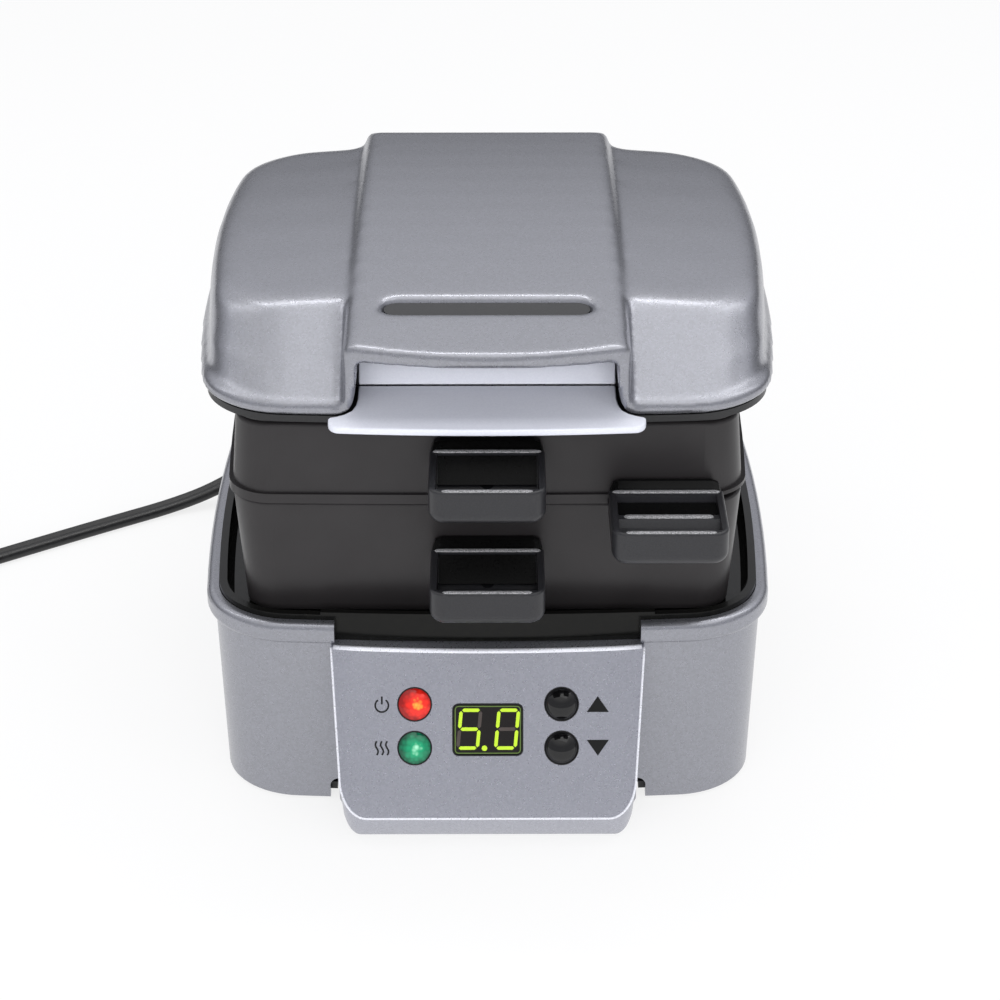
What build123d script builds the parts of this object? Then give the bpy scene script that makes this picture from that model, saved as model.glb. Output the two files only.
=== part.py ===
from build123d import *
import math
import os

os.makedirs("parts", exist_ok=True)

# Breakfast sandwich maker: a base with a timer panel, two hinged rings with a swing-out
# cooking plate between them, and a lid. X is to the right, Y to the back and Z up. The origin
# is on the floor, in the middle of the width and of the depth. Sizes are in millimetres, and
# sketch planes are centred on the cooking axis, so their Y values are counted from it.

# ------------------------------------------------------------------ driving dimensions
RUN = 0.3                # running gap between pieces that move past each other
SEAT = 0.3               # gap between a lifted piece and what it rests on
WALL = 2.4               # moulded wall

# cooking stack
COOK_R = 52.0            # round cooking space
RING_HALF_W = 75.0
RING_HALF_D = 75.0
RING_SIDE_BOW = 3.0
RING_END_BOW = 1.0
RING_CORNER_R = 12.0
RING_WALL = 3.0
RING_DRAFT = 2.5         # the lower ring narrows by this much towards its foot
UPPER_DRAFT = 1.7        # and the upper ring towards its top
LIP_PROUD = 1.0          # flange round the foot of the upper ring
LIP_H = 2.9

# heights, from the floor up
FOOT_H = 1.0
SKIRT_H = 53.5
RIM_H = 6.5
RING_DROP = 1.0          # the lower ring stands this far down inside the rim
LOWER_RING_H = 35.9
UPPER_RING_H = 23.8
LID_RIM_LIFT = 5.5       # lid rim above the liner's seat on the upper ring
LID_BEAD_H = 4.5
DOME_H = 22.0            # lid bead top to dome crown
STRAP_RISE = 2.5         # raised strap above the dome crown

# base
TRAY_MARGIN = 7.9        # ring side to the inside of the rim
RIM_W = 2.2
SKIRT_DRAFT = 1.6
BASE_SIDE_BOW = 4.5
BASE_END_BOW = 3.5
BASE_CORNER_R = 24.0
FRONT_MARGIN = 7.5       # ring front to the base front wall
PANEL_HALF_W = 44.8
PANEL_TAPER_DEG = 4.3    # the panel narrows towards the floor
PANEL_SLOPE_RUN = 22.0   # how far the panel face leans forward from its top to its nose
PANEL_NOSE_Z = 10.0
PANEL_NOSE_CUT = 5.5

# rear
HINGE_Y = 112.0
HINGE_Z = 98.0
PIN_R = 3.0
KNUCKLE_R = 8.0
KNUCKLE_W = 7.0
KNUCKLE_GAP = 0.5
PIN_FIT = 0.08
LOWER_LUG_X = 7.5        # inner face of the innermost lugs
TAIL_REACH = 36.3        # hinge axis to the back of the hinge housing
TAIL_HALF_W = 42.0
TAIL_TOP_Z = 60.0
TAIL_CORNER_R = 14.0

# handles
HANDLE_W = 32.0
HANDLE_REACH = 31.0      # ring front to handle front
HANDLE_STEM = 5.0        # ring front to the back of the grip
HANDLE_H = 10.4
UPPER_GRIP_Z = 105.1
PLATE_GRIP_Z = 92.4
LOWER_GRIP_Z = 73.8
PLATE_GRIP_X = 50.0

# cooking plate
PLATE_T = 1.6
PLATE_OVERLAP = 3.0      # how far the plate covers the lower ring's deck
PLATE_PIVOT = (50.0, 62.0)
SWING_DEG = 88.0
BED_EXTRA_DEG = 25.0     # how far the plate's bed runs on past its swing

# lid
LID_INSET = 0.5          # the lid is this much narrower than the base's rim, each side
LID_SIDE_BOW = 7.0
LID_END_BOW = 3.0
LID_CORNER_R = 26.0
CROWN_SIDE_BOW = 4.0     # the same bow along the dome's shoulder
LID_BEAD_W = 2.5
LID_FRONT_RUN = 31.0     # how far the front wall leans back on its way up
LID_BACK_RUN = 3.0
DOME_R = 900.0
STRAP_HALF_W = 39.5
STRAP_ROUND = 4.0
STRAP_PROUD = 0.5        # the strap's corners stand this far in front of the base's wall
STRAP_FRONT_BOW = 5.8
STRAP_LIP_H = 5.2
STRAP_DIP = 6.8          # the strap's front edge lies this far under its top
SLOT_LENGTH = 59.0
SLOT_WIDTH = 8.5
SLOT_DEPTH = 3.2
SLOT_BACK = 22.0         # strap's front to the middle of the slot
TAB_WING = 7.5           # depth of the tab's wide front

# ------------------------------------------------------------------ worked-out places
SKIRT_Z = FOOT_H
CREASE_Z = SKIRT_Z + SKIRT_H
RIM_TOP_Z = CREASE_Z + RIM_H
LOWER_Z = RIM_TOP_Z - RING_DROP
LOWER_TOP_Z = LOWER_Z + LOWER_RING_H
RING_SPLIT = 0.5
UPPER_Z = LOWER_TOP_Z + RING_SPLIT
UPPER_TOP_Z = UPPER_Z + UPPER_RING_H
LINER_SEAT_Z = UPPER_TOP_Z + SEAT
LID_RIM_Z = LINER_SEAT_Z + LID_RIM_LIFT
LID_WALL_Z = LID_RIM_Z + LID_BEAD_H
DOME_TOP_Z = LID_WALL_Z + DOME_H
TOP_Z = DOME_TOP_Z + STRAP_RISE
BASE_HALF_W = RING_HALF_W + TRAY_MARGIN
BASE_HALF_D = RING_HALF_D + FRONT_MARGIN
STRAP_FRONT = BASE_HALF_D + STRAP_PROUD
SLOT_Y = SLOT_BACK - STRAP_FRONT
tab_wide_y = STRAP_FRONT + 1.5       # here the tab widens, just in front of the strap's legs
tab_reach = tab_wide_y + TAB_WING
RIM_HALF_W = BASE_HALF_W + RIM_W
LID_HALF_W = RIM_HALF_W - LID_INSET
FRONT_REACH = RING_HALF_D + HANDLE_REACH
REAR_REACH = HINGE_Y + TAIL_REACH
STACK_Y = (FRONT_REACH - REAR_REACH) / 2
print("width", 2 * RIM_HALF_W, "depth", FRONT_REACH + REAR_REACH, "height", TOP_Z)


def level(z):
    """Horizontal sketch plane at height z, centred on the cooking axis."""
    return Plane((0, STACK_Y, z))


def side(x):
    """Upright plane facing +X: sketch X is Y from the cooking axis, sketch Y is height."""
    return Plane(origin=(x, STACK_Y, 0), x_dir=(0, 1, 0), z_dir=(1, 0, 0))


def front(y):
    """Upright plane facing the front: sketch X is X, sketch Y is height."""
    return Plane(origin=(0, STACK_Y + y, 0), x_dir=(1, 0, 0), z_dir=(0, -1, 0))


def bowed_square(plane, half_w, front_d, back_d, side_bow, end_bow, corner_r):
    """Rounded square whose four sides bow outwards by side_bow and end_bow."""
    corner_x = half_w - side_bow
    corner_front = end_bow - front_d
    corner_back = back_d - end_bow
    middle = (corner_front + corner_back) / 2
    with BuildSketch(plane) as sketch:
        with BuildLine():
            ThreePointArc((-corner_x, corner_front), (0, -front_d), (corner_x, corner_front))
            ThreePointArc((corner_x, corner_front), (half_w, middle), (corner_x, corner_back))
            ThreePointArc((corner_x, corner_back), (0, back_d), (-corner_x, corner_back))
            ThreePointArc((-corner_x, corner_back), (-half_w, middle), (-corner_x, corner_front))
        make_face()
        fillet(sketch.vertices(), radius=corner_r)
    return sketch.sketch


def base_outline(z, inset=0.0, side_inset=0.0):
    """The base's plan, drawn in by inset all round and by side_inset at the sides too."""
    return bowed_square(
        level(z), BASE_HALF_W - inset - side_inset, BASE_HALF_D - inset, BASE_HALF_D - inset,
        BASE_SIDE_BOW, BASE_END_BOW, BASE_CORNER_R - inset,
    )


def ring_outline(z, inset=0.0):
    """The rings' plan, drawn in by inset."""
    return bowed_square(
        level(z), RING_HALF_W - inset, RING_HALF_D - inset, RING_HALF_D - inset,
        RING_SIDE_BOW, RING_END_BOW, RING_CORNER_R - inset,
    )


def lid_outline(z, inset=0.0):
    """The lid's plan at its bead, drawn in by inset."""
    return bowed_square(
        level(z), LID_HALF_W - inset, BASE_HALF_D - inset, BASE_HALF_D - inset,
        LID_SIDE_BOW, LID_END_BOW, LID_CORNER_R - inset,
    )


def crown_outline(z, inset):
    """The lid's plan at its crown, where the front and back walls have leaned in."""
    return bowed_square(
        level(z), LID_HALF_W - inset, BASE_HALF_D - inset - LID_FRONT_RUN,
        BASE_HALF_D - inset - LID_BACK_RUN, CROWN_SIDE_BOW, LID_END_BOW, LID_CORNER_R,
    )


def in_sketch(outline):
    """A level outline moved into sketch coordinates, for use inside a sketch block."""
    return outline.moved(Location((0, -STACK_Y, -outline.center().Z)))


def block(x_low, x_high, y_low, y_high, z_low, z_high, mode=Mode.ADD):
    """Straight-sided block between the given limits, with Y counted from the cooking axis."""
    with BuildSketch(level(z_low)) as footprint:
        with Locations(((x_low + x_high) / 2, (y_low + y_high) / 2)):
            Rectangle(x_high - x_low, y_high - y_low)
    extrude(footprint.sketch, amount=z_high - z_low, mode=mode)


def save(piece, name):
    """Label a finished piece and write it out."""
    piece.part.label = name
    export_step(piece.part, f"parts/{name}.step")


# ------------------------------------------------------------------ base shell
# Painted outer shell: skirt, rolled rim, an opening in front for the panel and one behind
# for the hinge housing.
PANEL_FIT = 0.3
PANEL_LAP = 0.8           # how far the panel laps over the sides of its opening
PANEL_TOP_Z = CREASE_Z
panel_foot_half = PANEL_HALF_W - (PANEL_TOP_Z - SKIRT_Z) * math.tan(math.radians(PANEL_TAPER_DEG))
TAIL_GAP_HALF_W = TAIL_HALF_W - WALL - 1.0
NOTCH_W = 6.0
NOTCH_H = 6.5
NOTCH_ROUND = 2.6
RIM_ROUND = RIM_W - 0.2
RIM_IN = WALL / 2         # the tray stands on the other half of the skirt's top edge


def panel_opening(grow, mode):
    """The opening behind the panel, through the skirt and the rim, widened by grow."""
    foot = panel_foot_half - PANEL_LAP + grow
    head = PANEL_HALF_W - PANEL_LAP + grow
    with BuildSketch(front(-BASE_HALF_D / 2)) as opening:
        with BuildLine():
            Polyline((-foot, SKIRT_Z), (foot, SKIRT_Z), (head, PANEL_TOP_Z), (head, 2 * RIM_TOP_Z),
                     (-head, 2 * RIM_TOP_Z), (-head, PANEL_TOP_Z), close=True)
        make_face()
    extrude(opening.sketch, amount=2 * BASE_HALF_D, mode=mode)


with BuildPart() as base_shell:
    extrude(base_outline(CREASE_Z, inset=-RIM_W), amount=RIM_H)
    fillet(base_shell.edges().filter_by(GeomType.LINE, reverse=True), radius=RIM_ROUND)
    loft([base_outline(SKIRT_Z, side_inset=SKIRT_DRAFT), base_outline(CREASE_Z)])
    loft(
        [
            base_outline(SKIRT_Z, inset=WALL, side_inset=SKIRT_DRAFT),
            base_outline(CREASE_Z, inset=WALL),
        ],
        mode=Mode.SUBTRACT,
    )
    extrude(base_outline(CREASE_Z, inset=RIM_IN), amount=RIM_H, mode=Mode.SUBTRACT)
    panel_opening(0.0, Mode.SUBTRACT)
    block(-TAIL_GAP_HALF_W, TAIL_GAP_HALF_W, BASE_HALF_D / 2, 2 * BASE_HALF_D,
          0, CREASE_Z - 2 * WALL, mode=Mode.SUBTRACT)
    with BuildSketch(front(-BASE_HALF_D / 2)) as notches:
        with Locations(*[(sign * panel_foot_half, SKIRT_Z) for sign in (-1, 1)]):
            RectangleRounded(2 * NOTCH_W, 2 * NOTCH_H, NOTCH_ROUND)
    extrude(notches.sketch, amount=BASE_HALF_D, mode=Mode.SUBTRACT)
save(base_shell, "base_shell")

# ------------------------------------------------------------------ base tray
# Black dished tray inside the rim. It carries the lower heating plate, and its posts take
# the screws of the bottom cover.
TRAY_FIT = RIM_IN + 0.15
TRAY_STAND = 1.6         # tray lip above the rolled rim
TRAY_LIP = 1.6
TRAY_SLOPE = 2.4
TRAY_FLOOR_Z = LOWER_Z - 2.5
TRAY_REAR_Y = 20.0       # behind this the lip is raised
TRAY_REAR_RISE = 1.6
TRAY_LAND_HALF_W = 48.0
TRAY_LAND_H = 0.8
LOWER_PLATE_R = COOK_R + 4.0
PLATE_HOLE_R = LOWER_PLATE_R + 1.2
SHIELD_DEPTH = 12.0
POST_R = 4.0
POST_BORE_R = 1.4
POST_PLACES = [(-58.0, -50.0), (58.0, -50.0), (-58.0, 56.0), (58.0, 56.0)]
COVER_Z = SKIRT_Z + 1.0
COVER_T = 2.4
PANEL_TOP_Y = -(BASE_HALF_D + 2.0)
PANEL_BACK_Y = PANEL_TOP_Y + 9.0
tray_top_z = RIM_TOP_Z + TRAY_STAND
with BuildPart() as base_tray:
    extrude(base_outline(CREASE_Z, inset=TRAY_FIT), amount=tray_top_z - CREASE_Z)
    with BuildSketch(level(tray_top_z)) as rear_lip:
        add(in_sketch(base_outline(tray_top_z, inset=TRAY_FIT)))
        with Locations((0, TRAY_REAR_Y - BASE_HALF_D)):
            Rectangle(4 * BASE_HALF_W, 2 * BASE_HALF_D, mode=Mode.SUBTRACT)
    extrude(rear_lip.sketch, amount=TRAY_REAR_RISE)
    with BuildSketch(level(tray_top_z)) as front_land:
        add(in_sketch(base_outline(tray_top_z, inset=TRAY_FIT)))
        with Locations((0, -BASE_HALF_D)):
            Rectangle(2 * TRAY_LAND_HALF_W, 2 * FRONT_MARGIN, mode=Mode.INTERSECT)
    extrude(front_land.sketch, amount=TRAY_LAND_H)
    loft(
        [
            base_outline(TRAY_FLOOR_Z, inset=TRAY_FIT + TRAY_LIP + TRAY_SLOPE),
            base_outline(tray_top_z + TRAY_REAR_RISE + 0.1, inset=TRAY_FIT + TRAY_LIP),
        ],
        mode=Mode.SUBTRACT,
    )
    extrude(
        base_outline(CREASE_Z, inset=TRAY_FIT + TRAY_LIP + TRAY_SLOPE),
        amount=TRAY_FLOOR_Z - WALL - CREASE_Z, mode=Mode.SUBTRACT,
    )
    with BuildSketch(level(TRAY_FLOOR_Z)) as shield:
        Circle(PLATE_HOLE_R + WALL)
    extrude(shield.sketch, amount=-SHIELD_DEPTH)
    with BuildSketch(level(COVER_Z + COVER_T)) as posts:
        with Locations(*POST_PLACES):
            Circle(POST_R)
    extrude(posts.sketch, amount=TRAY_FLOOR_Z - WALL / 2 - COVER_Z - COVER_T)
    with BuildSketch(level(TRAY_FLOOR_Z - 2 * SHIELD_DEPTH)) as plate_hole:
        Circle(PLATE_HOLE_R)
    extrude(plate_hole.sketch, amount=4 * SHIELD_DEPTH, mode=Mode.SUBTRACT)
    with BuildSketch(level(COVER_Z)) as bores:
        with Locations(*POST_PLACES):
            Circle(POST_BORE_R)
    extrude(bores.sketch, amount=TRAY_FLOOR_Z - COVER_Z - 2 * WALL, mode=Mode.SUBTRACT)
save(base_tray, "base_tray")

# ------------------------------------------------------------------ hinge housing
# Black tail behind the base. Its two ears hold the hinge pin, and the cord leaves its side.
EAR_FOOT_HALF = 13.0
LUG_PITCH = KNUCKLE_W + KNUCKLE_GAP
CORD_EXIT_Y = HINGE_Y + 6.0
CORD_EXIT_Z = 12.5
BUSHING_R = 6.5
TAIL_POSTS = [(sign * (TAIL_HALF_W - 10), REAR_REACH - 12) for sign in (-1, 1)]
tail_front = BASE_HALF_D - BASE_END_BOW


def lug_x(place):
    """Inner face of the hinge lug at this place, counted outwards from the middle."""
    return LOWER_LUG_X + place * LUG_PITCH


def lugs(place, foot):
    """A pair of hinge lugs: a round eye on the hinge axis joined to the polygon foot."""
    for sign in (-1, 1):
        x_low = min(sign * lug_x(place), sign * (lug_x(place) + KNUCKLE_W))
        with BuildSketch(side(x_low)) as lug:
            with BuildLine():
                Polyline(*foot, close=True)
            make_face()
            with Locations((HINGE_Y, HINGE_Z)):
                Circle(KNUCKLE_R)
        extrude(lug.sketch, amount=KNUCKLE_W)


def pin_bore(half_length):
    """Bore on the hinge axis with running clearance for the pin."""
    with BuildSketch(side(-half_length)) as bore:
        with Locations((HINGE_Y, HINGE_Z)):
            Circle(PIN_R + PIN_FIT)
    extrude(bore.sketch, amount=2 * half_length, mode=Mode.SUBTRACT)


BASE_EAR = 3
PIN_HALF = lug_x(BASE_EAR) + KNUCKLE_W + 0.4
with BuildPart() as hinge_housing:
    with BuildSketch(level(SKIRT_Z)) as footprint:
        with Locations((0, (tail_front + REAR_REACH) / 2)):
            Rectangle(2 * TAIL_HALF_W, REAR_REACH - tail_front)
        fillet(footprint.vertices().group_by(Axis.Y)[-1], radius=TAIL_CORNER_R)
    extrude(footprint.sketch, amount=TAIL_TOP_Z - SKIRT_Z, taper=1.5)
    fillet(hinge_housing.faces().sort_by(Axis.Z)[-1].edges().sort_by(Axis.Y)[1:], radius=4.0)
    ear_foot = TAIL_TOP_Z - WALL / 2
    lugs(BASE_EAR, [
        (HINGE_Y - EAR_FOOT_HALF, ear_foot), (HINGE_Y + EAR_FOOT_HALF, ear_foot),
        (HINGE_Y + KNUCKLE_R - 0.3, HINGE_Z + 1), (HINGE_Y - KNUCKLE_R + 0.3, HINGE_Z + 1),
    ])
    with BuildSketch(level(SKIRT_Z)) as hollow:
        with Locations((0, (tail_front + REAR_REACH) / 2)):
            Rectangle(2 * (TAIL_HALF_W - WALL), REAR_REACH - tail_front - 2 * WALL)
        fillet(hollow.vertices().group_by(Axis.Y)[-1], radius=TAIL_CORNER_R - WALL)
    extrude(hollow.sketch, amount=TAIL_TOP_Z - WALL - SKIRT_Z, taper=1.5, mode=Mode.SUBTRACT)
    block(-TAIL_GAP_HALF_W, TAIL_GAP_HALF_W, tail_front - WALL, tail_front + 2 * WALL,
          0, CREASE_Z - 2 * WALL, mode=Mode.SUBTRACT)
    loft([base_outline(SKIRT_Z, side_inset=SKIRT_DRAFT), base_outline(CREASE_Z)],
         mode=Mode.SUBTRACT)
    extrude(base_outline(CREASE_Z, inset=-RIM_W), amount=RIM_H, mode=Mode.SUBTRACT)
    with BuildSketch(level(COVER_Z + COVER_T)) as posts:
        with Locations(*TAIL_POSTS):
            Circle(POST_R)
    extrude(posts.sketch, amount=TAIL_TOP_Z - WALL / 2 - COVER_Z - COVER_T)
    with BuildSketch(level(COVER_Z)) as bores:
        with Locations(*TAIL_POSTS):
            Circle(POST_BORE_R)
    extrude(bores.sketch, amount=3 * POST_R, mode=Mode.SUBTRACT)
    pin_bore(PIN_HALF + 5)
    with BuildSketch(side(-TAIL_HALF_W - WALL)) as cord_hole:
        with Locations((CORD_EXIT_Y, CORD_EXIT_Z)):
            Circle(BUSHING_R)
    extrude(cord_hole.sketch, amount=3 * WALL, mode=Mode.SUBTRACT)
save(hinge_housing, "hinge_housing")

# ------------------------------------------------------------------ hinge pin
PIN_HEAD_R = 4.6
PIN_HEAD_T = 1.4
with BuildPart() as hinge_pin:
    with BuildSketch(side(-PIN_HALF)) as shank:
        with Locations((HINGE_Y, HINGE_Z)):
            Circle(PIN_R)
    extrude(shank.sketch, amount=2 * PIN_HALF)
    for x_start, reach in ((-PIN_HALF, -PIN_HEAD_T), (PIN_HALF, PIN_HEAD_T)):
        with BuildSketch(side(x_start)) as head:
            with Locations((HINGE_Y, HINGE_Z)):
                Circle(PIN_HEAD_R)
        extrude(head.sketch, amount=reach)
    chamfer(
        hinge_pin.edges().filter_by(GeomType.CIRCLE).group_by(Axis.X)[0]
        + hinge_pin.edges().filter_by(GeomType.CIRCLE).group_by(Axis.X)[-1],
        length=0.5,
    )
save(hinge_pin, "hinge_pin")

# ------------------------------------------------------------------ bottom cover
# Flat cover under the base and the tail, with vent slots, foot sockets and screw holes.
COVER_FIT = 0.4
FOOT_R = 6.0
FOOT_SOCKET = 1.2
FOOT_X = 52.0
FOOT_Y = -60.0
TAIL_FOOT_X = 30.0
TAIL_FOOT_IN = 26.0       # rear feet from the back of the tail
HEAD_PROUD = 0.9          # cover screw heads below the cover
COVER_THREAD = 8.0
VENT_LENGTH = 36.0
SCREW_R = 1.3
SCREW_HEAD_R = 2.6
VENT_W = 2.4
FOOT_PLACES = [(sign * FOOT_X, FOOT_Y) for sign in (-1, 1)]
FOOT_PLACES += [(sign * TAIL_FOOT_X, REAR_REACH - TAIL_FOOT_IN) for sign in (-1, 1)]
with BuildPart() as bottom_cover:
    cover_inset = WALL + COVER_FIT
    extrude(base_outline(COVER_Z, inset=cover_inset, side_inset=SKIRT_DRAFT), amount=COVER_T)
    with BuildSketch(level(COVER_Z)) as tail_cover:
        y_far = REAR_REACH - cover_inset
        with Locations((0, y_far / 2 + BASE_HALF_D / 4)):
            Rectangle(2 * (TAIL_GAP_HALF_W - COVER_FIT), y_far - BASE_HALF_D / 2)
        fillet(tail_cover.vertices().group_by(Axis.Y)[-1], radius=TAIL_CORNER_R - WALL)
    extrude(tail_cover.sketch, amount=COVER_T)
    with BuildSketch(level(COVER_Z)) as foot_sockets:
        with Locations(*FOOT_PLACES):
            Circle(FOOT_R)
    extrude(foot_sockets.sketch, amount=FOOT_SOCKET, mode=Mode.SUBTRACT)
    with BuildSketch(level(COVER_Z)) as vents:
        with GridLocations(3 * VENT_W, 1, 7, 1):
            SlotOverall(VENT_LENGTH, VENT_W, rotation=90)
    extrude(vents.sketch, amount=COVER_T, mode=Mode.SUBTRACT)
    with BuildSketch(level(COVER_Z)) as screw_holes:
        with Locations(*POST_PLACES, *TAIL_POSTS):
            Circle(SCREW_R + 0.3)
    extrude(screw_holes.sketch, amount=COVER_T, mode=Mode.SUBTRACT)
    block(-PANEL_HALF_W, PANEL_HALF_W, -2 * BASE_HALF_D, PANEL_BACK_Y + COVER_FIT,
          0, CREASE_Z, mode=Mode.SUBTRACT)
save(bottom_cover, "bottom_cover")

with BuildPart() as rubber_feet:
    with BuildSketch(level(0)) as soles:
        with Locations(*FOOT_PLACES):
            Circle(FOOT_R - 0.1)
    extrude(soles.sketch, amount=COVER_Z + FOOT_SOCKET)
    chamfer(rubber_feet.edges().filter_by(GeomType.CIRCLE).group_by(Axis.Z)[0], length=0.6)
save(rubber_feet, "rubber_feet")

with BuildPart() as cover_screws:
    with BuildSketch(level(COVER_Z)) as heads:
        with Locations(*POST_PLACES, *TAIL_POSTS):
            Circle(SCREW_HEAD_R)
    extrude(heads.sketch, amount=-HEAD_PROUD)
    with BuildSketch(level(COVER_Z - HEAD_PROUD)) as shanks:
        with Locations(*POST_PLACES, *TAIL_POSTS):
            Circle(SCREW_R)
    extrude(shanks.sketch, amount=COVER_T + COVER_THREAD)
save(cover_screws, "cover_screws")

# ------------------------------------------------------------------ lower heating plate
# Cast plate with a raised land that the lower ring stands on, and its tubular element.
PLATE_LAND_T = 4.0
PLATE_T_MAX = 6.0         # full thickness of a heating plate, in its middle
PLATE_DISH = 1.2
ELEMENT_R = 36.0
ELEMENT_TUBE_R = 3.3
ELEMENT_GAP_DEG = 50.0
COLD_PIN_LENGTH = 9.0
TERMINAL_LENGTH = 6.0
lower_plate_top = LOWER_Z - SEAT


def heating_plate(radius, face_z, direction):
    """Round cast plate: cooking face at face_z, its back towards direction (+1 is up)."""
    with BuildSketch(side(0)) as section:
        with BuildLine():
            Polyline(
                (0, face_z + direction * PLATE_DISH),
                (radius - 12.0, face_z + direction * PLATE_DISH),
                (radius - 9.0, face_z),
                (radius, face_z),
                (radius, face_z + direction * PLATE_LAND_T),
                (radius - 8.0, face_z + direction * PLATE_T_MAX),
                (0, face_z + direction * PLATE_T_MAX),
                close=True,
            )
        make_face()
    revolve(section.sketch, axis=Axis((0, STACK_Y, 0), (0, 0, 1)))


def element_groove(centre_z, tube_r, mode=Mode.ADD):
    """Open ring of tube round the cooking axis, with its gap at the back."""
    start = 90 + ELEMENT_GAP_DEG / 2
    start_x = ELEMENT_R * math.cos(math.radians(start))
    start_y = ELEMENT_R * math.sin(math.radians(start))
    heading = (math.cos(math.radians(start)), math.sin(math.radians(start)), 0)
    with BuildSketch(Plane((start_x, STACK_Y + start_y, centre_z), x_dir=heading,
                           z_dir=(-heading[1], heading[0], 0))) as tube:
        Circle(tube_r)
    revolve(tube.sketch, axis=Axis((0, STACK_Y, 0), (0, 0, 1)),
            revolution_arc=360 - ELEMENT_GAP_DEG, mode=mode)


with BuildPart() as lower_heating_plate:
    heating_plate(LOWER_PLATE_R, lower_plate_top, -1)
    lower_element_z = lower_plate_top - PLATE_T_MAX - ELEMENT_TUBE_R / 2
    element_groove(lower_element_z, ELEMENT_TUBE_R, mode=Mode.SUBTRACT)
save(lower_heating_plate, "lower_heating_plate")


def element(centre_z, direction):
    """Tubular element with two cold pins that turn away from the plate."""
    element_groove(centre_z, ELEMENT_TUBE_R)
    for sign in (-1, 1):
        angle = math.radians(90 + sign * ELEMENT_GAP_DEG / 2)
        with BuildSketch(level(centre_z)) as cold_pin:
            with Locations((ELEMENT_R * math.cos(angle), ELEMENT_R * math.sin(angle))):
                Circle(ELEMENT_TUBE_R - 0.5)
        extrude(cold_pin.sketch, amount=direction * COLD_PIN_LENGTH)
        with BuildSketch(level(centre_z + direction * COLD_PIN_LENGTH)) as terminal:
            with Locations((ELEMENT_R * math.cos(angle), ELEMENT_R * math.sin(angle))):
                Circle(ELEMENT_TUBE_R / 2)
        extrude(terminal.sketch, amount=direction * TERMINAL_LENGTH)


with BuildPart() as lower_heating_element:
    element(lower_element_z, -1)
save(lower_heating_element, "lower_heating_element")

# ------------------------------------------------------------------ heat shield
# Pressed steel pan under the plate. It hangs from the tray's collar, and three spacers on
# its floor carry the plate.
SHEET_T = 0.8
SHIELD_FIT = 0.3
SPACER_R = 3.0
SPACER_RING_R = 20.0
SPACER_ANGLES = (30, 150, 270)
SHIELD_AIR = 6.0          # free height under the element
collar_foot_z = TRAY_FLOOR_Z - SHIELD_DEPTH
shield_floor_z = lower_element_z - ELEMENT_TUBE_R - SHIELD_AIR
plate_back_z = lower_plate_top - PLATE_T_MAX
SPACER_PLACES = [
    (SPACER_RING_R * math.cos(math.radians(angle)), SPACER_RING_R * math.sin(math.radians(angle)))
    for angle in SPACER_ANGLES
]
with BuildPart() as heat_shield:
    with BuildSketch(side(0)) as pan:
        with BuildLine():
            Polyline(
                (0, shield_floor_z),
                (PLATE_HOLE_R - SHIELD_FIT - SHEET_T, shield_floor_z),
                (PLATE_HOLE_R - SHIELD_FIT, shield_floor_z + SHEET_T),
                (PLATE_HOLE_R - SHIELD_FIT, collar_foot_z - SHEET_T),
                (PLATE_HOLE_R + WALL, collar_foot_z - SHEET_T),
                (PLATE_HOLE_R + WALL, collar_foot_z),
                (PLATE_HOLE_R - SHIELD_FIT - SHEET_T, collar_foot_z),
                (PLATE_HOLE_R - SHIELD_FIT - SHEET_T, shield_floor_z + 2 * SHEET_T),
                (PLATE_HOLE_R - SHIELD_FIT - 2 * SHEET_T, shield_floor_z + SHEET_T),
                (0, shield_floor_z + SHEET_T),
                close=True,
            )
        make_face()
    revolve(pan.sketch, axis=Axis((0, STACK_Y, 0), (0, 0, 1)))
    with BuildSketch(level(shield_floor_z + SHEET_T / 2)) as spacers:
        with Locations(*SPACER_PLACES):
            Circle(SPACER_R)
    extrude(spacers.sketch, amount=plate_back_z - shield_floor_z - SHEET_T / 2)
    with BuildSketch(level(shield_floor_z - 1)) as openings:
        with Locations(*SPACER_PLACES):
            Circle(SCREW_R + 0.2)
        for sign in (-1, 1):
            angle = math.radians(90 + sign * ELEMENT_GAP_DEG / 2)
            with Locations((ELEMENT_R * math.cos(angle), ELEMENT_R * math.sin(angle))):
                Circle(ELEMENT_TUBE_R + 1.2)
    extrude(openings.sketch, amount=plate_back_z - shield_floor_z + 1, mode=Mode.SUBTRACT)
save(heat_shield, "heat_shield")

with BuildPart() as lower_plate_screws:
    with BuildSketch(level(shield_floor_z)) as heads:
        with Locations(*SPACER_PLACES):
            Circle(SCREW_HEAD_R)
    extrude(heads.sketch, amount=-1.6)
    with BuildSketch(level(shield_floor_z)) as shanks:
        with Locations(*SPACER_PLACES):
            Circle(SCREW_R)
    extrude(shanks.sketch, amount=plate_back_z - shield_floor_z)
save(lower_plate_screws, "lower_plate_screws")

# Round snap-action thermostat under the middle of the plate.
THERMOSTAT_R = 8.0
THERMOSTAT_H = 6.0
with BuildPart() as thermostat:
    with BuildSketch(level(plate_back_z - 0.1)) as cap:
        Circle(THERMOSTAT_R)
    extrude(cap.sketch, amount=-THERMOSTAT_H)
    block(-THERMOSTAT_R - 2, THERMOSTAT_R + 2, -1.6, 1.6,
          plate_back_z - THERMOSTAT_H + 1.0, plate_back_z - THERMOSTAT_H + 1.8)
save(thermostat, "thermostat")

# ------------------------------------------------------------------ front panel
# Painted fascia that leans forward from under the tray to a nose just above the floor.
PANEL_CORNER_R = 9.0
PANEL_FRONT_BOW = 2.5
PANEL_ROUND = 2.2
nose_y = PANEL_TOP_Y - PANEL_SLOPE_RUN + 0.5


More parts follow.
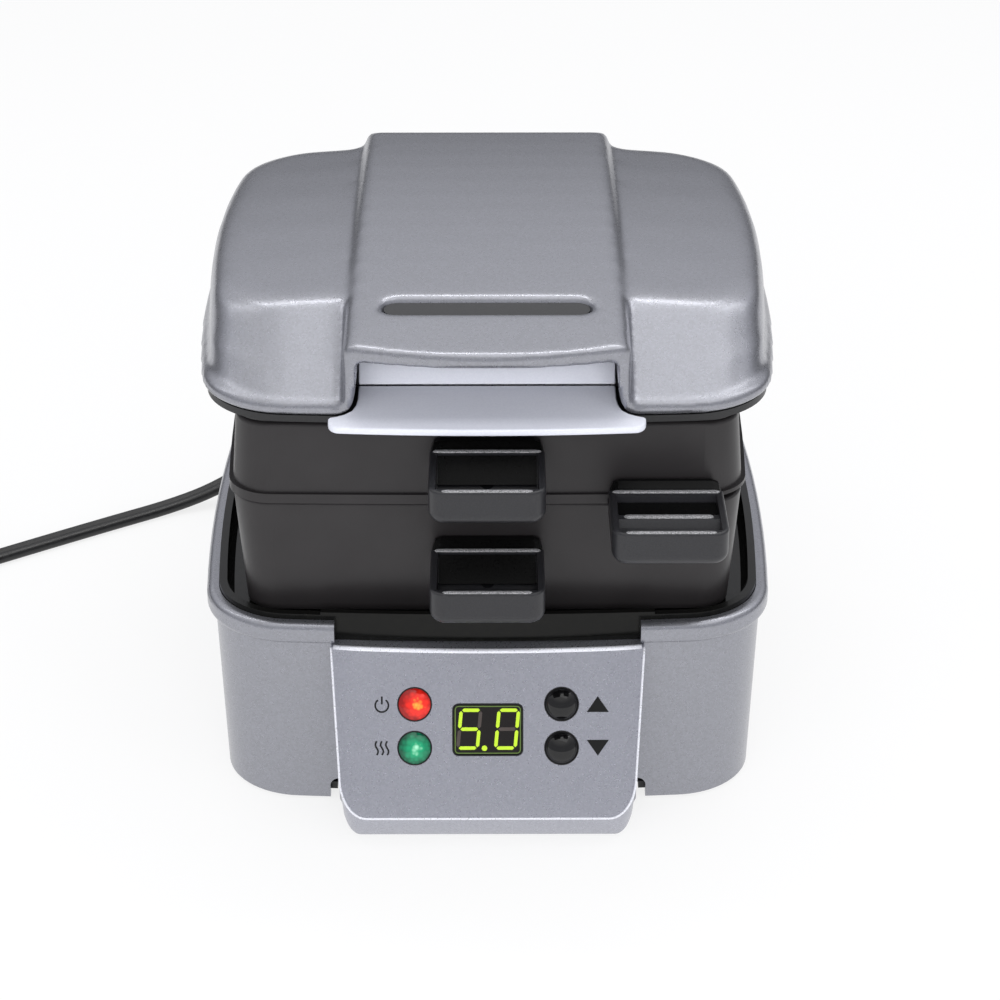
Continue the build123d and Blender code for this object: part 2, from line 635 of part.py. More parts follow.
def panel_form(inset, back_y):
    """Panel body drawn in by inset: a tapered plan cut to the leaning side profile."""
    run = nose_y - PANEL_TOP_Y
    rise = PANEL_TOP_Z - PANEL_NOSE_Z
    slant = math.hypot(run, rise)
    shift = inset * slant / rise
    with BuildPart() as form:
        with BuildSketch(level(SKIRT_Z)) as plan:
            with BuildLine():
                half = panel_foot_half - inset
                ThreePointArc(
                    (-half, nose_y + PANEL_FRONT_BOW), (0, nose_y + inset),
                    (half, nose_y + PANEL_FRONT_BOW),
                )
                Polyline((half, nose_y + PANEL_FRONT_BOW), (half, back_y), (-half, back_y),
                         (-half, nose_y + PANEL_FRONT_BOW))
            make_face()
            fillet(plan.vertices().group_by(Axis.Y)[0], radius=PANEL_CORNER_R - inset)
        extrude(plan.sketch, amount=PANEL_TOP_Z - SKIRT_Z - inset, taper=-PANEL_TAPER_DEG)
        with BuildSketch(side(-2 * PANEL_HALF_W)) as profile:
            with BuildLine():
                Polyline(
                    (PANEL_BACK_Y + 200, SKIRT_Z - 1), (nose_y + PANEL_NOSE_CUT + shift, SKIRT_Z - 1),
                    (nose_y + shift, PANEL_NOSE_Z),
                    (PANEL_TOP_Y + shift, PANEL_TOP_Z),
                    (PANEL_BACK_Y + 200, PANEL_TOP_Z), close=True,
                )
            make_face()
        extrude(profile.sketch, amount=4 * PANEL_HALF_W, mode=Mode.INTERSECT)
    return form.part


face_mid_z = (PANEL_TOP_Z + PANEL_NOSE_Z) / 2
face_mid_y = (PANEL_TOP_Y + nose_y) / 2
lean = math.atan2(PANEL_TOP_Y - nose_y, PANEL_TOP_Z - PANEL_NOSE_Z)
face_normal = (0, -math.cos(lean), math.sin(lean))
face_plane = Plane(origin=(0, STACK_Y + face_mid_y, face_mid_z), x_dir=(1, 0, 0),
                   z_dir=face_normal)
CONTROL_PITCH = 12.6     # between the two rows of lamps and buttons
CONTROL_ROW = 2.0        # middle of the two rows above the middle of the face
LAMP_X = -21.0
BUTTON_X = 21.2
LAMP_R = 4.7
BUTTON_R = 4.7
BUTTON_FIT = 0.25
WINDOW_W = 20.6
WINDOW_H = 15.0
WINDOW_CORNER_R = 1.5
upper_row = CONTROL_ROW + CONTROL_PITCH / 2
lower_row = CONTROL_ROW - CONTROL_PITCH / 2
BOARD_DEPTH = 13.0       # panel face to the front of the board
BOARD_W = 70.0
BOARD_H = 30.0
BOARD_T = 1.6
RELAY = (15.0, 12.0, 8.0)        # width, height and depth
CAPACITOR = (4.0, 7.0)           # radius and depth
TRANSFORMER = (10.0, 5.0)
BOARD_PART_X = 12.0
BOARD_PART_Y = 6.0
BOARD_POST_X = 31.8
BOARD_POST_Y = 11.5
BOARD_PLACES = [
    (sx * BOARD_POST_X, CONTROL_ROW + sy * BOARD_POST_Y) for sx in (-1, 1) for sy in (-1, 1)
]


def face_at(depth):
    """Plane parallel to the panel face, depth behind it."""
    return face_plane.offset(-depth)


with BuildPart() as shell_cheeks:
    loft([base_outline(SKIRT_Z, side_inset=SKIRT_DRAFT), base_outline(CREASE_Z)])
    panel_opening(-PANEL_FIT, Mode.SUBTRACT)

with BuildPart() as front_panel:
    add(panel_form(0.0, PANEL_BACK_Y))
    fillet(
        front_panel.edges().filter_by(
            lambda edge: (edge @ 0.5).Y < STACK_Y + PANEL_TOP_Y - 0.5 and (edge @ 0.5).Z > SKIRT_Z + 1
            and (edge.length > 20)
        ),
        radius=PANEL_ROUND,
    )
    add(panel_form(WALL, PANEL_BACK_Y + WALL), mode=Mode.SUBTRACT)
    add(shell_cheeks.part, mode=Mode.SUBTRACT)
    with BuildSketch(face_at(WALL / 2)) as board_posts:
        with Locations(*BOARD_PLACES):
            Circle(POST_R - 1)
    extrude(board_posts.sketch, amount=-(BOARD_DEPTH - WALL / 2))
    with BuildSketch(face_at(-WALL)) as face_holes:
        with Locations((LAMP_X, upper_row), (LAMP_X, lower_row)):
            Circle(LAMP_R + 0.1)
        with Locations((BUTTON_X, upper_row), (BUTTON_X, lower_row)):
            Circle(BUTTON_R + BUTTON_FIT)
        with Locations((0, CONTROL_ROW)):
            RectangleRounded(WINDOW_W + 0.2, WINDOW_H + 0.2, WINDOW_CORNER_R)
    extrude(face_holes.sketch, amount=-4 * WALL, mode=Mode.SUBTRACT)
    with BuildSketch(face_at(2 * WALL)) as board_bores:
        with Locations(*BOARD_PLACES):
            Circle(POST_BORE_R - 0.5)
    extrude(board_bores.sketch, amount=-BOARD_DEPTH, mode=Mode.SUBTRACT)
save(front_panel, "front_panel")

# ------------------------------------------------------------------ lamps and display
LAMP_DOME_H = 1.6
LAMP_FLANGE = 1.0


def domed_cap(centre_x, row, radius, depth, dome_h, flange_depth, flange_w):
    """Round cap with a spherical dome, a stepped body and a flange behind the panel."""
    sphere_r = (radius ** 2 + dome_h ** 2) / (2 * dome_h)
    half_angle = math.asin(radius / sphere_r) / 2
    body_r = radius - 1.2
    flange_back = flange_depth + 1.0
    centre = face_plane.from_local_coords(Vector(centre_x, row, 0))
    section_plane = Plane(origin=centre, x_dir=face_plane.x_dir, z_dir=face_plane.y_dir * -1)
    with BuildSketch(section_plane) as section:
        with BuildLine():
            Polyline((0, -depth), (body_r, -depth), (body_r, -flange_back),
                     (radius + flange_w, -flange_back), (radius + flange_w, -flange_depth),
                     (radius, -flange_depth), (radius, 0))
            ThreePointArc(
                (radius, 0),
                (sphere_r * math.sin(half_angle), dome_h - sphere_r * (1 - math.cos(half_angle))),
                (0, dome_h),
            )
            Line((0, dome_h), (0, -depth))
        make_face()
    revolve(section.sketch, axis=Axis(centre, face_plane.z_dir))


for lamp_name, lamp_row in (("power_lens", upper_row), ("ready_lens", lower_row)):
    with BuildPart() as lens:
        domed_cap(LAMP_X, lamp_row, LAMP_R, BOARD_DEPTH - 6.0, LAMP_DOME_H, WALL + 0.1, LAMP_FLANGE)
    save(lens, lamp_name)

with BuildPart() as display_window:
    with BuildSketch(face_at(WALL + 0.1)) as pane:
        with Locations((0, CONTROL_ROW)):
            RectangleRounded(WINDOW_W, WINDOW_H, WINDOW_CORNER_R)
    extrude(pane.sketch, amount=WALL - 0.2)
    with BuildSketch(face_at(WALL + 0.1)) as pane_flange:
        with Locations((0, CONTROL_ROW)):
            Rectangle(WINDOW_W + 2, WINDOW_H + 2)
    extrude(pane_flange.sketch, amount=-0.9)
save(display_window, "display_window")

DISPLAY_W = 18.6
DISPLAY_H = 13.2
with BuildPart() as display_module:
    with BuildSketch(face_at(BOARD_DEPTH)) as block_plan:
        with Locations((0, CONTROL_ROW)):
            Rectangle(DISPLAY_W, DISPLAY_H)
    extrude(block_plan.sketch, amount=BOARD_DEPTH - WALL - 1.2)
save(display_module, "display_module")

# ------------------------------------------------------------------ circuit board
SWITCH_W = 6.0
SWITCH_H = 3.5
ACTUATOR_R = 1.7
ACTUATOR_H = 1.5
with BuildPart() as circuit_board:
    with BuildSketch(face_at(BOARD_DEPTH)) as board:
        with Locations((0, CONTROL_ROW)):
            Rectangle(BOARD_W, BOARD_H)
        with Locations(*BOARD_PLACES):
            Circle(SCREW_R - 0.2, mode=Mode.SUBTRACT)
    extrude(board.sketch, amount=-BOARD_T)
    with BuildSketch(face_at(BOARD_DEPTH + BOARD_T)) as relay:
        with Locations((-BOARD_PART_X, CONTROL_ROW)):
            Rectangle(RELAY[0], RELAY[1])
    extrude(relay.sketch, amount=-RELAY[2])
    with BuildSketch(face_at(BOARD_DEPTH + BOARD_T)) as capacitor:
        with Locations((BOARD_PART_X, CONTROL_ROW + BOARD_PART_Y)):
            Circle(CAPACITOR[0])
        with Locations((BOARD_PART_X, CONTROL_ROW - BOARD_PART_Y)):
            Rectangle(*TRANSFORMER)
    extrude(capacitor.sketch, amount=-CAPACITOR[1])
save(circuit_board, "circuit_board")

with BuildPart() as button_switches:
    with BuildSketch(face_at(BOARD_DEPTH)) as switch_bodies:
        with Locations((BUTTON_X, upper_row), (BUTTON_X, lower_row)):
            Rectangle(SWITCH_W, SWITCH_W)
    extrude(switch_bodies.sketch, amount=SWITCH_H)
    with BuildSketch(face_at(BOARD_DEPTH - SWITCH_H)) as actuators:
        with Locations((BUTTON_X, upper_row), (BUTTON_X, lower_row)):
            Circle(ACTUATOR_R)
    extrude(actuators.sketch, amount=ACTUATOR_H)
save(button_switches, "button_switches")

with BuildPart() as board_screws:
    with BuildSketch(face_at(BOARD_DEPTH + BOARD_T)) as heads:
        with Locations(*BOARD_PLACES):
            Circle(SCREW_HEAD_R - 0.6)
    extrude(heads.sketch, amount=-1.2)
    with BuildSketch(face_at(BOARD_DEPTH + BOARD_T)) as shanks:
        with Locations(*BOARD_PLACES):
            Circle(POST_BORE_R - 0.55)
    extrude(shanks.sketch, amount=BOARD_T + 4.0)
save(board_screws, "board_screws")

# ------------------------------------------------------------------ buttons
# Domed caps in the panel. Each has a stem over a switch and a small coil spring round it.
BUTTON_TRAVEL = 0.9
BUTTON_DOME_H = 2.6
BUTTON_GAP = 0.25
SPRING_R = 2.6
SPRING_WIRE_R = 0.3
SPRING_TURNS = 3
switch_top_depth = BOARD_DEPTH - SWITCH_H - ACTUATOR_H
stem_depth = switch_top_depth - BUTTON_TRAVEL
stem_shoulder = WALL + 2.0
for button_name, button_row in (("up_button", upper_row), ("down_button", lower_row)):
    with BuildPart() as button:
        domed_cap(BUTTON_X, button_row, BUTTON_R, stem_shoulder, BUTTON_DOME_H, WALL + BUTTON_GAP,
                  LAMP_FLANGE)
        with BuildSketch(face_at(stem_shoulder)) as stem:
            with Locations((BUTTON_X, button_row)):
                Circle(ACTUATOR_R)
        extrude(stem.sketch, amount=-(stem_depth - stem_shoulder))
    save(button, button_name)
    spring_top = stem_shoulder + SPRING_WIRE_R
    spring_foot = BOARD_DEPTH - SWITCH_H - SPRING_WIRE_R
    spring_length = spring_foot - spring_top
    coil_foot = Plane(
        origin=face_plane.from_local_coords(Vector(BUTTON_X, button_row, -spring_foot)),
        x_dir=face_plane.x_dir, z_dir=face_plane.z_dir,
    )
    coil = Edge.make_helix(spring_length / SPRING_TURNS, spring_length, SPRING_R).moved(
        coil_foot.location
    )
    with BuildPart() as spring:
        with BuildSketch(Plane(origin=coil @ 0, z_dir=coil % 0)) as wire:
            Circle(SPRING_WIRE_R)
        sweep(wire.sketch, path=coil, is_frenet=True)
    save(spring, button_name + "_spring")

# ------------------------------------------------------------------ rings
LUG_FOOT_IN = 1.5        # how far the lugs are sunk into a ring's rear wall
RIB_T = 2.0


def ring_cavity(z_low, z_high, mode=Mode.SUBTRACT):
    """Round hole through a ring, over the full height given."""
    with BuildSketch(level(z_low)) as hole:
        Circle(COOK_R)
    extrude(hole.sketch, amount=z_high - z_low, mode=mode)


def ring_hollow(foot_outline, z_low, z_high):
    """Space between a ring's outer wall and its cooking wall, left with four ribs."""
    with BuildSketch(level(z_low)) as hollow:
        add(in_sketch(foot_outline))
        Circle(COOK_R + RING_WALL, mode=Mode.SUBTRACT)
        Rectangle(4 * COOK_R, RIB_T, rotation=45, mode=Mode.SUBTRACT)
        Rectangle(4 * COOK_R, RIB_T, rotation=-45, mode=Mode.SUBTRACT)
        Rectangle(GRIP_SCREW_BED, 4 * COOK_R, mode=Mode.SUBTRACT)
    extrude(hollow.sketch, amount=z_high - z_low, mode=Mode.SUBTRACT)


GRIP_SCREW_BED = 12.0    # solid rib behind the handle and between the hinge lugs
DECK_T = 2.5
with BuildPart() as lower_ring:
    loft([ring_outline(LOWER_Z, inset=RING_DRAFT), ring_outline(LOWER_TOP_Z)])
    fillet(lower_ring.faces().sort_by(Axis.Z)[-1].edges(), radius=0.8)
    ring_hollow(ring_outline(LOWER_Z, inset=RING_DRAFT + RING_WALL), LOWER_Z - 1,
                LOWER_TOP_Z - DECK_T)
    lugs(0, [
        (RING_HALF_D - RING_DRAFT - LUG_FOOT_IN, LOWER_Z + 12), (HINGE_Y, HINGE_Z - KNUCKLE_R + 0.1),
        (HINGE_Y + 1, HINGE_Z + 1), (HINGE_Y - KNUCKLE_R + 1, HINGE_Z - 2),
        (RING_HALF_D + 4, LOWER_TOP_Z - 4), (RING_HALF_D - LUG_FOOT_IN, LOWER_TOP_Z - 4),
    ])
    ring_cavity(LOWER_Z - 2, LOWER_TOP_Z + 2)
    pin_bore(PIN_HALF)
    with BuildSketch(front(-RING_HALF_D / 2)) as handle_bore:
        with Locations((0, LOWER_GRIP_Z + HANDLE_H / 2)):
            Circle(POST_BORE_R)
    extrude(handle_bore.sketch, amount=RING_HALF_D, mode=Mode.SUBTRACT)
save(lower_ring, "lower_ring")

# Upper ring: a flange round its foot, a shallow bed under it for the swinging plate, and
# the bore of the plate's pivot.
plate_z = LOWER_TOP_Z + SEAT
plate_bed_z = plate_z + PLATE_T + RUN
PLATE_R = COOK_R + PLATE_OVERLAP
PIVOT_R = 3.0
EAR_R = 8.0
STEM_W = 20.0
STEM_REACH = HANDLE_STEM + 14.0
swing_r = math.hypot(*PLATE_PIVOT) + PLATE_R + 1.0
swing_start = math.degrees(math.atan2(-PLATE_PIVOT[1], -PLATE_PIVOT[0]))


def plate_neck(angle, grow):
    """The bar from the pivot towards the disc's centre, swung by angle degrees."""
    heading = math.radians(swing_start + angle)
    length = math.hypot(*PLATE_PIVOT)
    with Locations((PLATE_PIVOT[0] + length / 2 * math.cos(heading),
                    PLATE_PIVOT[1] + length / 2 * math.sin(heading))):
        Rectangle(length, 2 * (EAR_R + grow), rotation=swing_start + angle)


def plate_outline(z, grow=0.0):
    """The plate's plan: disc, pivot ear with its neck, and the handle's tongue."""
    with BuildSketch(level(z)) as plan:
        Circle(PLATE_R + grow)
        with Locations(PLATE_PIVOT):
            Circle(EAR_R + grow)
        plate_neck(0, grow)
        with Locations((PLATE_GRIP_X, -(RING_HALF_D + STEM_REACH) / 2)):
            Rectangle(STEM_W + 2 * grow, RING_HALF_D + STEM_REACH + 2 * grow)
    return plan.sketch


def swing_point(angle):
    """Point on the edge of the plate's swing, angle degrees round from its rest place."""
    heading = math.radians(swing_start + angle)
    return (PLATE_PIVOT[0] + swing_r * math.cos(heading),
            PLATE_PIVOT[1] + swing_r * math.sin(heading))


with BuildPart() as upper_ring:
    loft([ring_outline(UPPER_Z + LIP_H / 2), ring_outline(UPPER_TOP_Z, inset=UPPER_DRAFT)])
    fillet(upper_ring.faces().sort_by(Axis.Z)[-1].edges(), radius=1.2)
    extrude(ring_outline(UPPER_Z, inset=-LIP_PROUD), amount=LIP_H)
    ring_hollow(ring_outline(UPPER_Z, inset=RING_WALL), UPPER_Z - 1, UPPER_TOP_Z - DECK_T)
    with BuildSketch(level(UPPER_Z)) as pivot_boss:
        with Locations(PLATE_PIVOT):
            Circle(EAR_R + 1)
    extrude(pivot_boss.sketch, amount=UPPER_TOP_Z - DECK_T - UPPER_Z)
    lugs(1, [
        (RING_HALF_D - LUG_FOOT_IN, UPPER_Z + LIP_H + 1), (RING_HALF_D + 6, UPPER_Z + LIP_H - 1),
        (HINGE_Y - 3, HINGE_Z - KNUCKLE_R + 1), (HINGE_Y, HINGE_Z + KNUCKLE_R - 0.1),
        (RING_HALF_D + 10, UPPER_TOP_Z - 6), (RING_HALF_D - LUG_FOOT_IN, UPPER_TOP_Z - 4),
    ])
    with BuildSketch(level(UPPER_Z - 1)) as plate_bed:
        add(in_sketch(plate_outline(UPPER_Z - 1, grow=1.0)))
        plate_neck(SWING_DEG, 1.0)
        with BuildLine():
            ThreePointArc(swing_point(0), swing_point(SWING_DEG / 2),
                          swing_point(SWING_DEG + BED_EXTRA_DEG))
            Polyline(swing_point(SWING_DEG + BED_EXTRA_DEG), PLATE_PIVOT, swing_point(0))
        make_face()
    extrude(plate_bed.sketch, amount=plate_bed_z - UPPER_Z + 1, mode=Mode.SUBTRACT)
    block(PLATE_GRIP_X - HANDLE_W / 2, RING_HALF_W + 5, -RING_HALF_D - 5, -RING_HALF_D + 12,
          UPPER_Z - 1, plate_bed_z, mode=Mode.SUBTRACT)
    ring_cavity(UPPER_Z - 2, UPPER_TOP_Z + 2)
    pin_bore(PIN_HALF)
    with BuildSketch(level(UPPER_Z - 1)) as pivot_bore:
        with Locations(PLATE_PIVOT):
            Circle(PIVOT_R)
    extrude(pivot_bore.sketch, amount=15, mode=Mode.SUBTRACT)
    with BuildSketch(front(-RING_HALF_D / 2)) as handle_bore:
        with Locations((0, UPPER_GRIP_Z + HANDLE_H / 2)):
            Circle(POST_BORE_R)
    extrude(handle_bore.sketch, amount=RING_HALF_D, mode=Mode.SUBTRACT)
save(upper_ring, "upper_ring")

# Shouldered pin riveted into the upper ring. The plate's ear turns on it.
with BuildPart() as plate_pivot_pin:
    with BuildSketch(level(plate_z - SEAT / 2)) as pin_head:
        with Locations(PLATE_PIVOT):
            Circle(PIVOT_R)
    extrude(pin_head.sketch, amount=plate_bed_z - plate_z + SEAT / 2 + 12)
save(plate_pivot_pin, "plate_pivot_pin")

# ------------------------------------------------------------------ cooking plate
RIVET_PITCH = 12.0
RIVET_R = 1.4
RIVET_FIT = 0.05
RIVET_HEAD_R = 2.4
RIVET_Y = -(RING_HALF_D + HANDLE_STEM + 8.0)
RIVET_PLACES = [(PLATE_GRIP_X + sign * RIVET_PITCH / 2, RIVET_Y) for sign in (-1, 1)]
with BuildPart() as cooking_plate:
    extrude(plate_outline(plate_z), amount=PLATE_T)
    with BuildSketch(level(plate_z)) as plate_holes:
        with Locations(PLATE_PIVOT):
            Circle(PIVOT_R + PIN_FIT)
        with Locations(*RIVET_PLACES):
            Circle(RIVET_R + RIVET_FIT)
    extrude(plate_holes.sketch, amount=PLATE_T, mode=Mode.SUBTRACT)
save(cooking_plate, "cooking_plate")

# ------------------------------------------------------------------ handles
# Moulded open-topped grips. The ring handles are screwed through their back wall, and the
# plate's tongue is riveted inside its own.
CHEEK_T = 2.0
GRIP_CORNER_R = 4.5
GRIP_ROUND = 0.8
GRIP_FOOT_R = 3.4
GRIP_BACK_T = 2.0         # ridge along the back, and the wall behind the screw's head
GRIP_SLOPE = 7.0          # the scoop's back slopes down over this reach
GRIP_LIP_T = 2.2
GRIP_FLOOR_T = 2.2
HEAD_T = 1.5
ROOT_HALF_W = 11.0
grip_back = RING_HALF_D + HANDLE_STEM
grip_front = RING_HALF_D + HANDLE_REACH


def grip(centre_x, grip_z, scoop):
    """Handle body with rounded front corners and a scoop cut between its two cheeks."""
    with BuildPart() as body:
        with BuildSketch(level(grip_z)) as plan:
            with Locations((centre_x, -(grip_back + grip_front) / 2)):
                Rectangle(HANDLE_W, grip_front - grip_back)
            fillet(plan.vertices().group_by(Axis.Y)[0], radius=GRIP_CORNER_R)
        extrude(plan.sketch, amount=HANDLE_H)
        fillet(body.faces().sort_by(Axis.Z)[0].edges(), radius=GRIP_FOOT_R)
        fillet(body.faces().sort_by(Axis.Z)[-1].edges(), radius=GRIP_ROUND)
        with BuildSketch(side(centre_x - HANDLE_W / 2 + CHEEK_T)) as section:
            with BuildLine():
                Polyline(*[(-y, grip_z + z) for y, z in scoop], close=True)
            make_face()
        extrude(section.sketch, amount=HANDLE_W - 2 * CHEEK_T, mode=Mode.SUBTRACT)
        root_y = RING_HALF_D
        block(centre_x - ROOT_HALF_W, centre_x + ROOT_HALF_W, -grip_back - 1, -root_y,
              grip_z + 1.0, grip_z + HANDLE_H - 1.0)
    return body.part


above = HANDLE_H + 5
ring_scoop = [
    (grip_back + GRIP_BACK_T, above), (grip_back + GRIP_BACK_T, HANDLE_H - 1.4),
    (grip_back + GRIP_BACK_T + GRIP_SLOPE - 1.8, GRIP_FLOOR_T + 1.2),
    (grip_back + GRIP_BACK_T + GRIP_SLOPE, GRIP_FLOOR_T),
    (grip_front - GRIP_LIP_T - 3.4, GRIP_FLOOR_T),
    (grip_front - GRIP_LIP_T - 1.6, HANDLE_H - 1.6), (grip_front - GRIP_LIP_T, HANDLE_H - 1.2),
    (grip_front - GRIP_LIP_T, above),
]
tongue_z = plate_z - PLATE_GRIP_Z
plate_floor = tongue_z + PLATE_T + 1.8
plate_scoop = [
    (grip_back + GRIP_BACK_T, above), (grip_back + GRIP_BACK_T + 1, plate_floor),
    (grip_back + 11.0, plate_floor), (grip_back + 12.5, HANDLE_H - 1.2),
    (grip_back + 15.0, HANDLE_H - 1.2), (grip_back + 16.5, plate_floor),
    (grip_front - GRIP_LIP_T - 2, plate_floor), (grip_front - GRIP_LIP_T, HANDLE_H - 1.5),
    (grip_front - GRIP_LIP_T, above),
]

for ring_name, grip_z in (("lower_ring", LOWER_GRIP_Z), ("upper_ring", UPPER_GRIP_Z)):
    ring_body = lower_ring if ring_name == "lower_ring" else upper_ring
    with BuildPart() as ring_handle:
        add(grip(0.0, grip_z, ring_scoop))
        add(ring_body.part, mode=Mode.SUBTRACT)
        with BuildSketch(front(-RING_HALF_D / 2)) as screw_bore:
            with Locations((0, grip_z + HANDLE_H / 2)):
                Circle(POST_BORE_R + 0.2)
        extrude(screw_bore.sketch, amount=grip_back + GRIP_BACK_T - RING_HALF_D / 2 + 1,
                mode=Mode.SUBTRACT)
        with BuildSketch(front(-grip_back - GRIP_BACK_T)) as head_bore:
            with Locations((0, grip_z + HANDLE_H / 2)):
                Circle(SCREW_HEAD_R + 0.2)
        extrude(head_bore.sketch, amount=GRIP_SLOPE, mode=Mode.SUBTRACT)
    save(ring_handle, ring_name + "_handle")
    with BuildPart() as handle_screw:
        with BuildSketch(front(-grip_back - GRIP_BACK_T)) as screw_head:
            with Locations((0, grip_z + HANDLE_H / 2)):
                Circle(SCREW_HEAD_R)
        extrude(screw_head.sketch, amount=HEAD_T)
        with BuildSketch(front(-RING_HALF_D + RING_WALL * 3)) as screw_shank:
            with Locations((0, grip_z + HANDLE_H / 2)):
                Circle(SCREW_R)
        extrude(screw_shank.sketch, amount=grip_back + GRIP_BACK_T - RING_HALF_D + RING_WALL * 3)
    save(handle_screw, ring_name + "_handle_screw")

with BuildPart() as plate_handle:
    add(grip(PLATE_GRIP_X, PLATE_GRIP_Z, plate_scoop))
    block(-RING_HALF_W, RING_HALF_W, -RING_HALF_D - 1.5, 0, 0, 2 * HINGE_Z, mode=Mode.SUBTRACT)
    add(cooking_plate.part, mode=Mode.SUBTRACT)
    with BuildSketch(level(PLATE_GRIP_Z - 1)) as rivet_bores:
        with Locations(*RIVET_PLACES):
            Circle(RIVET_R + RIVET_FIT)
    extrude(rivet_bores.sketch, amount=2 * HANDLE_H, mode=Mode.SUBTRACT)
save(plate_handle, "plate_handle")

with BuildPart() as plate_rivets:
    for head_z, head_t in ((PLATE_GRIP_Z, -0.6), (PLATE_GRIP_Z + plate_floor, 0.8)):
        with BuildSketch(level(head_z)) as rivet_heads:
            with Locations(*RIVET_PLACES):
                Circle(RIVET_HEAD_R)
        extrude(rivet_heads.sketch, amount=head_t)
    with BuildSketch(level(PLATE_GRIP_Z)) as rivet_shanks:
        with Locations(*RIVET_PLACES):
            Circle(RIVET_R)
    extrude(rivet_shanks.sketch, amount=plate_floor)
save(plate_rivets, "plate_rivets")

# ------------------------------------------------------------------ lid
# Painted cover: a rolled bead, walls that lean back to a shallow domed top, and a raised
# strap across it. The strap bridges a recess over the lifting tab in front.
DOME_CENTRE_Y = 5.0
SHOULDER_R = 5.0
STRAP_CROWN_Y = 20.0
STRAP_TOP_R = 826.0
STRAP_BACK = BASE_HALF_D + 1.0
RECESS_HALF_W = 36.0
RECESS_DEPTH = 19.0      # strap's front to the back of the tab's recess
RECESS_BACK = RECESS_DEPTH - STRAP_FRONT
RECESS_TOP_Z = LID_RIM_Z + 17.5
LID_POSTS = [(-58.0, -46.0), (58.0, -46.0), (-58.0, 58.0), (58.0, 58.0)]


def dome_form(inset):
    """Solid under the lid's top surface, drawn in by inset."""
    wall_inset = LID_BEAD_W + inset
    with BuildPart() as form:
        extrude(lid_outline(LID_RIM_Z, inset=wall_inset), amount=LID_BEAD_H)
        loft([lid_outline(LID_WALL_Z, inset=wall_inset), crown_outline(DOME_TOP_Z, wall_inset)])
        with Locations((0, STACK_Y + DOME_CENTRE_Y, DOME_TOP_Z - DOME_R)):
            Sphere(DOME_R - inset, rotation=(90, 0, 0), mode=Mode.INTERSECT)
        fillet(form.faces().sort_by(Axis.Z)[-1].edges(), radius=SHOULDER_R - inset)
    return form.part


def strap_top_z(y):
    """Height of the strap's top at y."""
    return TOP_Z - STRAP_TOP_R + math.sqrt(STRAP_TOP_R ** 2 - (y - STRAP_CROWN_Y) ** 2)


def strap_form(inset, front_y):
    """Strap from front_y to the back of the lid, drawn in by inset."""
    half_w = STRAP_HALF_W - inset
    back_y = STRAP_BACK - inset
    turn_y = back_y - 8.0
    with BuildPart() as form:
        with BuildSketch(side(-half_w)) as profile:
            with BuildLine():
                ThreePointArc(
                    (front_y, strap_top_z(front_y) - inset), (STRAP_CROWN_Y, TOP_Z - inset),
                    (turn_y, strap_top_z(turn_y) - inset),
                )
                ThreePointArc(
                    (turn_y, strap_top_z(turn_y) - inset), (back_y - 2.5, strap_top_z(turn_y) - 3 - inset),
                    (back_y, LID_WALL_Z + 10),
                )
                Polyline((back_y, LID_WALL_Z + 10), (back_y, LID_RIM_Z), (front_y, LID_RIM_Z),
                         (front_y, strap_top_z(front_y) - inset))
            make_face()
        extrude(profile.sketch, amount=2 * half_w)
        long_edges = form.edges().filter_by(
            lambda edge: edge.length > STRAP_BACK and (edge @ 0.5).Z > DOME_TOP_Z - 5
        )
        fillet(long_edges, radius=STRAP_ROUND)
    return form.part


with BuildPart() as strap_plan:
    with BuildSketch(level(LID_RIM_Z)) as plan:
        with BuildLine():
            ThreePointArc((-STRAP_HALF_W, -STRAP_FRONT), (0, -STRAP_FRONT - STRAP_FRONT_BOW),
                          (STRAP_HALF_W, -STRAP_FRONT))
            Polyline((STRAP_HALF_W, -STRAP_FRONT), (STRAP_HALF_W, STRAP_BACK),
                     (-STRAP_HALF_W, STRAP_BACK), (-STRAP_HALF_W, -STRAP_FRONT))
        make_face()
        fillet(plan.vertices().group_by(Axis.Y)[0], radius=3.0)
    extrude(plan.sketch, amount=TOP_Z - LID_RIM_Z)
    add(strap_form(0.0, -STRAP_FRONT - STRAP_FRONT_BOW - 1), mode=Mode.INTERSECT)

with BuildPart() as lid_posts:
    with BuildSketch(level(LID_RIM_Z)) as posts:
        with Locations(*LID_POSTS):
            Circle(POST_R)
    extrude(posts.sketch, amount=DOME_H + LID_BEAD_H)
    add(dome_form(WALL / 2), mode=Mode.INTERSECT)

with BuildPart() as lid_cover:
    extrude(lid_outline(LID_RIM_Z), amount=LID_BEAD_H)
    fillet(lid_cover.edges().filter_by(GeomType.LINE, reverse=True), radius=LID_BEAD_H / 2 - 0.1)
    add(dome_form(0.0))
    add(strap_plan.part)
    add(dome_form(WALL), mode=Mode.SUBTRACT)
    add(strap_form(WALL, SLOT_Y + SLOT_WIDTH), mode=Mode.SUBTRACT)
    block(-RECESS_HALF_W - WALL, RECESS_HALF_W + WALL, -BASE_HALF_D + 3, RECESS_BACK + WALL,
          LID_RIM_Z, RECESS_TOP_Z)
    add(lid_posts.part)
    block(-RECESS_HALF_W, RECESS_HALF_W, -tab_reach, RECESS_BACK, 0, RECESS_TOP_Z,
          mode=Mode.SUBTRACT)
    with BuildSketch(level(strap_top_z(SLOT_Y) - SLOT_DEPTH)) as slot:
        with Locations((0, SLOT_Y)):
            SlotOverall(SLOT_LENGTH, SLOT_WIDTH)
    extrude(slot.sketch, amount=2 * SLOT_DEPTH, mode=Mode.SUBTRACT)
    with BuildSketch(level(LID_RIM_Z)) as bores:
        with Locations(*LID_POSTS):
            Circle(POST_BORE_R)
    extrude(bores.sketch, amount=3 * POST_R, mode=Mode.SUBTRACT)
save(lid_cover, "lid_cover")

